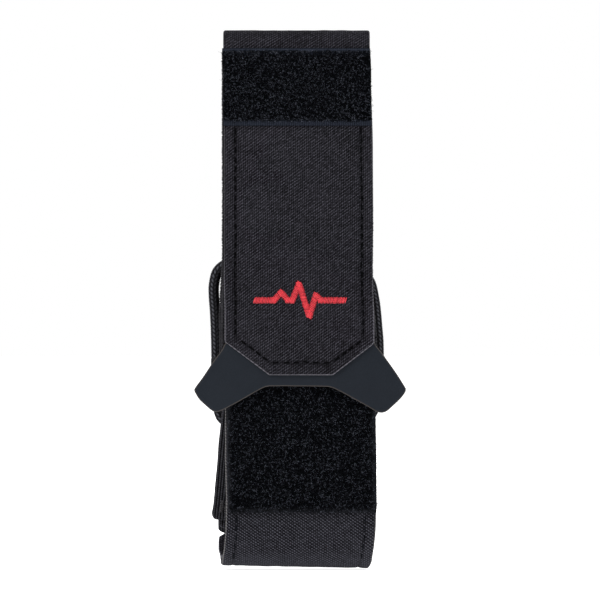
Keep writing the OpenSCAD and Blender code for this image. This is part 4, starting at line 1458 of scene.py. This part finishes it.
def rod_ribbon():
    """Webbing bridge: up one leg, across and down the other, in the x-depth plane."""
    half_height, half_span = 12, 4.55
    foot_depth, bend_depth = 11.5, 15.2
    bend_x, bend_rise = 0.8, 0.75
    half_thick, rib_height, rib_pitch = 0.48, 0.03, 1.1
    z = np.linspace(-half_height, half_height, 33)
    quarter = np.linspace(0, PI / 2, 6)[1:]
    leg_x = np.concatenate([np.full(8, -half_span), -half_span + bend_x * (1 - np.cos(quarter))])
    leg_depth = np.concatenate([np.linspace(foot_depth, bend_depth, 8),
                                bend_depth + bend_rise * np.sin(quarter)])
    path_x = np.concatenate([leg_x, np.linspace(-3.6, 3.6, 12), -leg_x[::-1]])
    path_depth = np.concatenate([leg_depth, np.full(12, bend_depth + bend_rise),
                                 leg_depth[::-1]])
    slope_x, slope_depth = np.gradient(path_x), np.gradient(path_depth)
    length = np.hypot(slope_x, slope_depth)
    faces = []
    for side in (1, -1):
        offset = side * (half_thick + rib_height * np.sin(z[None, :] * 2 * PI / rib_pitch))
        x = path_x[:, None] + (-slope_depth / length)[:, None] * offset
        depth = path_depth[:, None] + (slope_x / length)[:, None] * offset
        faces.append(np.stack([x, depth, z[None, :] + 0 * x], -1))
    rows, count = faces[0].shape[:2]
    ring = np.concatenate([faces[0], faces[1][:, ::-1]], 1)
    ring_z = np.concatenate([z, z[::-1]])
    run = run_along(np.stack([path_x, path_depth], 1))
    uv = np.stack([np.tile(ring_z, rows), np.repeat(run, 2 * count)], 1) * MM
    caps = [[first + j, first + j + 1, first + 2 * count - 2 - j, first + 2 * count - 1 - j]
            for first in (0, (rows - 1) * 2 * count) for j in range(count - 1)]
    piece = build("ribbon_webbing", ring.reshape(-1, 3),
                  np.concatenate([closed_quads(rows, 2 * count), np.array(caps)]), uv,
                  {"edge": np.tile(half_height - np.abs(ring_z), rows) + 0.4}, STRAP)
    fix_normals(piece)
    return piece


assign(rod_ribbon(), "windlass", replaces="ribbon_loop")

# ---------------------------------------------------------------- hard CAD parts
FINE_BEVEL, BROAD_BEVEL = 0.0003, 0.00045
HARD_PARTS = [("base_plate", PLASTIC, FINE_BEVEL), ("buckle_frame", PLASTIC, BROAD_BEVEL),
              ("buckle_bar", PLASTIC, FINE_BEVEL), ("rod_end_caps", PLASTIC, FINE_BEVEL),
              ("rod_keeper", PLASTIC, FINE_BEVEL), ("windlass_rod", ROD_PLASTIC, FINE_BEVEL),
              ("cord_ferrule", FERRULE, BROAD_BEVEL)]
for part_name, material, bevel_width in HARD_PARTS:
    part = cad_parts[part_name]
    part.data.materials.clear()
    part.data.materials.append(material)
    weld = part.modifiers.new("weld", "WELD")
    weld.merge_threshold = 0.00002
    bevel = part.modifiers.new("moulded_edges", "BEVEL")
    bevel.width = bevel_width
    bevel.segments = 3
    bevel.limit_method = "ANGLE"
    bevel.angle_limit = math.radians(40)
    bevel.use_clamp_overlap = True
    bevel.harden_normals = False

# ---------------------------------------------------------------- stage, in metres
scene = bpy.context.scene
scene.view_settings.view_transform = "Standard"
scene.view_settings.look = "None"
scene.view_settings.exposure = 0.0
scene.view_settings.gamma = 1.0


def floor_material():
    """White floor that glows more strongly away from the object."""
    s = Shader("studio_floor")
    position = s.position()
    mottle = s.noise(position, scale=6.0, detail=2.0)
    colour = s.mix(mottle, (0.90, 0.90, 0.90, 1), (0.94, 0.94, 0.94, 1))
    material = s.finish(colour, 0.9, specular=0.1)
    distance = s.node("VectorMath", {0: position}, "Value", operation="LENGTH")
    s.put(s.surface.inputs["Emission Color"], (1, 1, 1, 1))
    s.put(s.surface.inputs["Emission Strength"], distance.step(0.15, 1.3).scale_add(0.34, 0.76))
    return material


def studio_floor():
    """A disc just below the carrier."""
    sides, radius, floor_z = 64, 6, -0.0724
    material = floor_material()
    mesh = bpy.data.meshes.new("studio_floor")
    rim = [(radius * math.cos(2 * PI * i / sides), radius * math.sin(2 * PI * i / sides), floor_z)
           for i in range(sides)]
    mesh.from_pydata([(0, 0, floor_z)] + rim, [],
                     [(0, 1 + i, 1 + (i + 1) % sides) for i in range(sides)])
    floor = bpy.data.objects.new("studio_floor", mesh)
    mesh.materials.append(material)
    scene.collection.objects.link(floor)
    return floor


def studio_world():
    """White to the camera, dimmer as a light."""
    world = bpy.data.worlds.new("studio")
    scene.world = world
    world.use_nodes = True
    tree = world.node_tree
    tree.nodes.clear()
    output = tree.nodes.new("ShaderNodeOutputWorld")
    mix = tree.nodes.new("ShaderNodeMixShader")
    rays = tree.nodes.new("ShaderNodeLightPath")
    tree.links.new(rays.outputs["Is Camera Ray"], mix.inputs[0])
    for slot, strength in ((1, 0.34), (2, 1.0)):
        background = tree.nodes.new("ShaderNodeBackground")
        background.inputs["Color"].default_value = (1, 1, 1, 1)
        background.inputs["Strength"].default_value = strength
        tree.links.new(background.outputs[0], mix.inputs[slot])
    tree.links.new(mix.outputs[0], output.inputs[0])


studio_floor()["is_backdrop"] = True
studio_world()

# name, place, size, power in watts
LIGHTS = [("key", (-0.55, -0.80, 0.85), (0.45, 0.45), 10.5),
          ("fill", (0.85, -0.8, 0.15), (0.7, 0.7), 2.6),
          ("top", (0.0, -0.1, 1.0), (0.8, 0.8), 3.5),
          ("back", (0.2, 0.9, 0.5), (0.8, 0.6), 7.0)]
LIGHT_TARGET = Vector((0, -0.013, 0))
for light_name, place, size, power in LIGHTS:
    light = bpy.data.lights.new(light_name, "AREA")
    light.shape = "RECTANGLE"
    light.size, light.size_y = size
    light.energy = power
    lamp = bpy.data.objects.new(light_name, light)
    lamp.location = place
    lamp.rotation_mode = "QUATERNION"
    lamp.rotation_quaternion = (LIGHT_TARGET - Vector(place)).to_track_quat("-Z", "Y")
    lamp.visible_camera = False
    scene.collection.objects.link(lamp)

# the camera looks square on from the front, a set distance from the flap's face
VIEW_DISTANCE, VIEW_SIZE, SENSOR = 1.6, 0.1593, 36.0
camera_data = bpy.data.cameras.new("camera")
camera = bpy.data.objects.new("camera", camera_data)
scene.collection.objects.link(camera)
camera_data.sensor_width = SENSOR
camera_data.lens = SENSOR * VIEW_DISTANCE / VIEW_SIZE
camera_data.clip_start = 0.01
camera_data.clip_end = 50
camera.location = (0.0, -(VIEW_DISTANCE + FLAP_FRONT * MM), -0.00013)
camera.rotation_mode = "QUATERNION"
camera.rotation_quaternion = Vector((0, 1, 0)).to_track_quat("-Z", "Y")
scene.camera = camera

low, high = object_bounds()
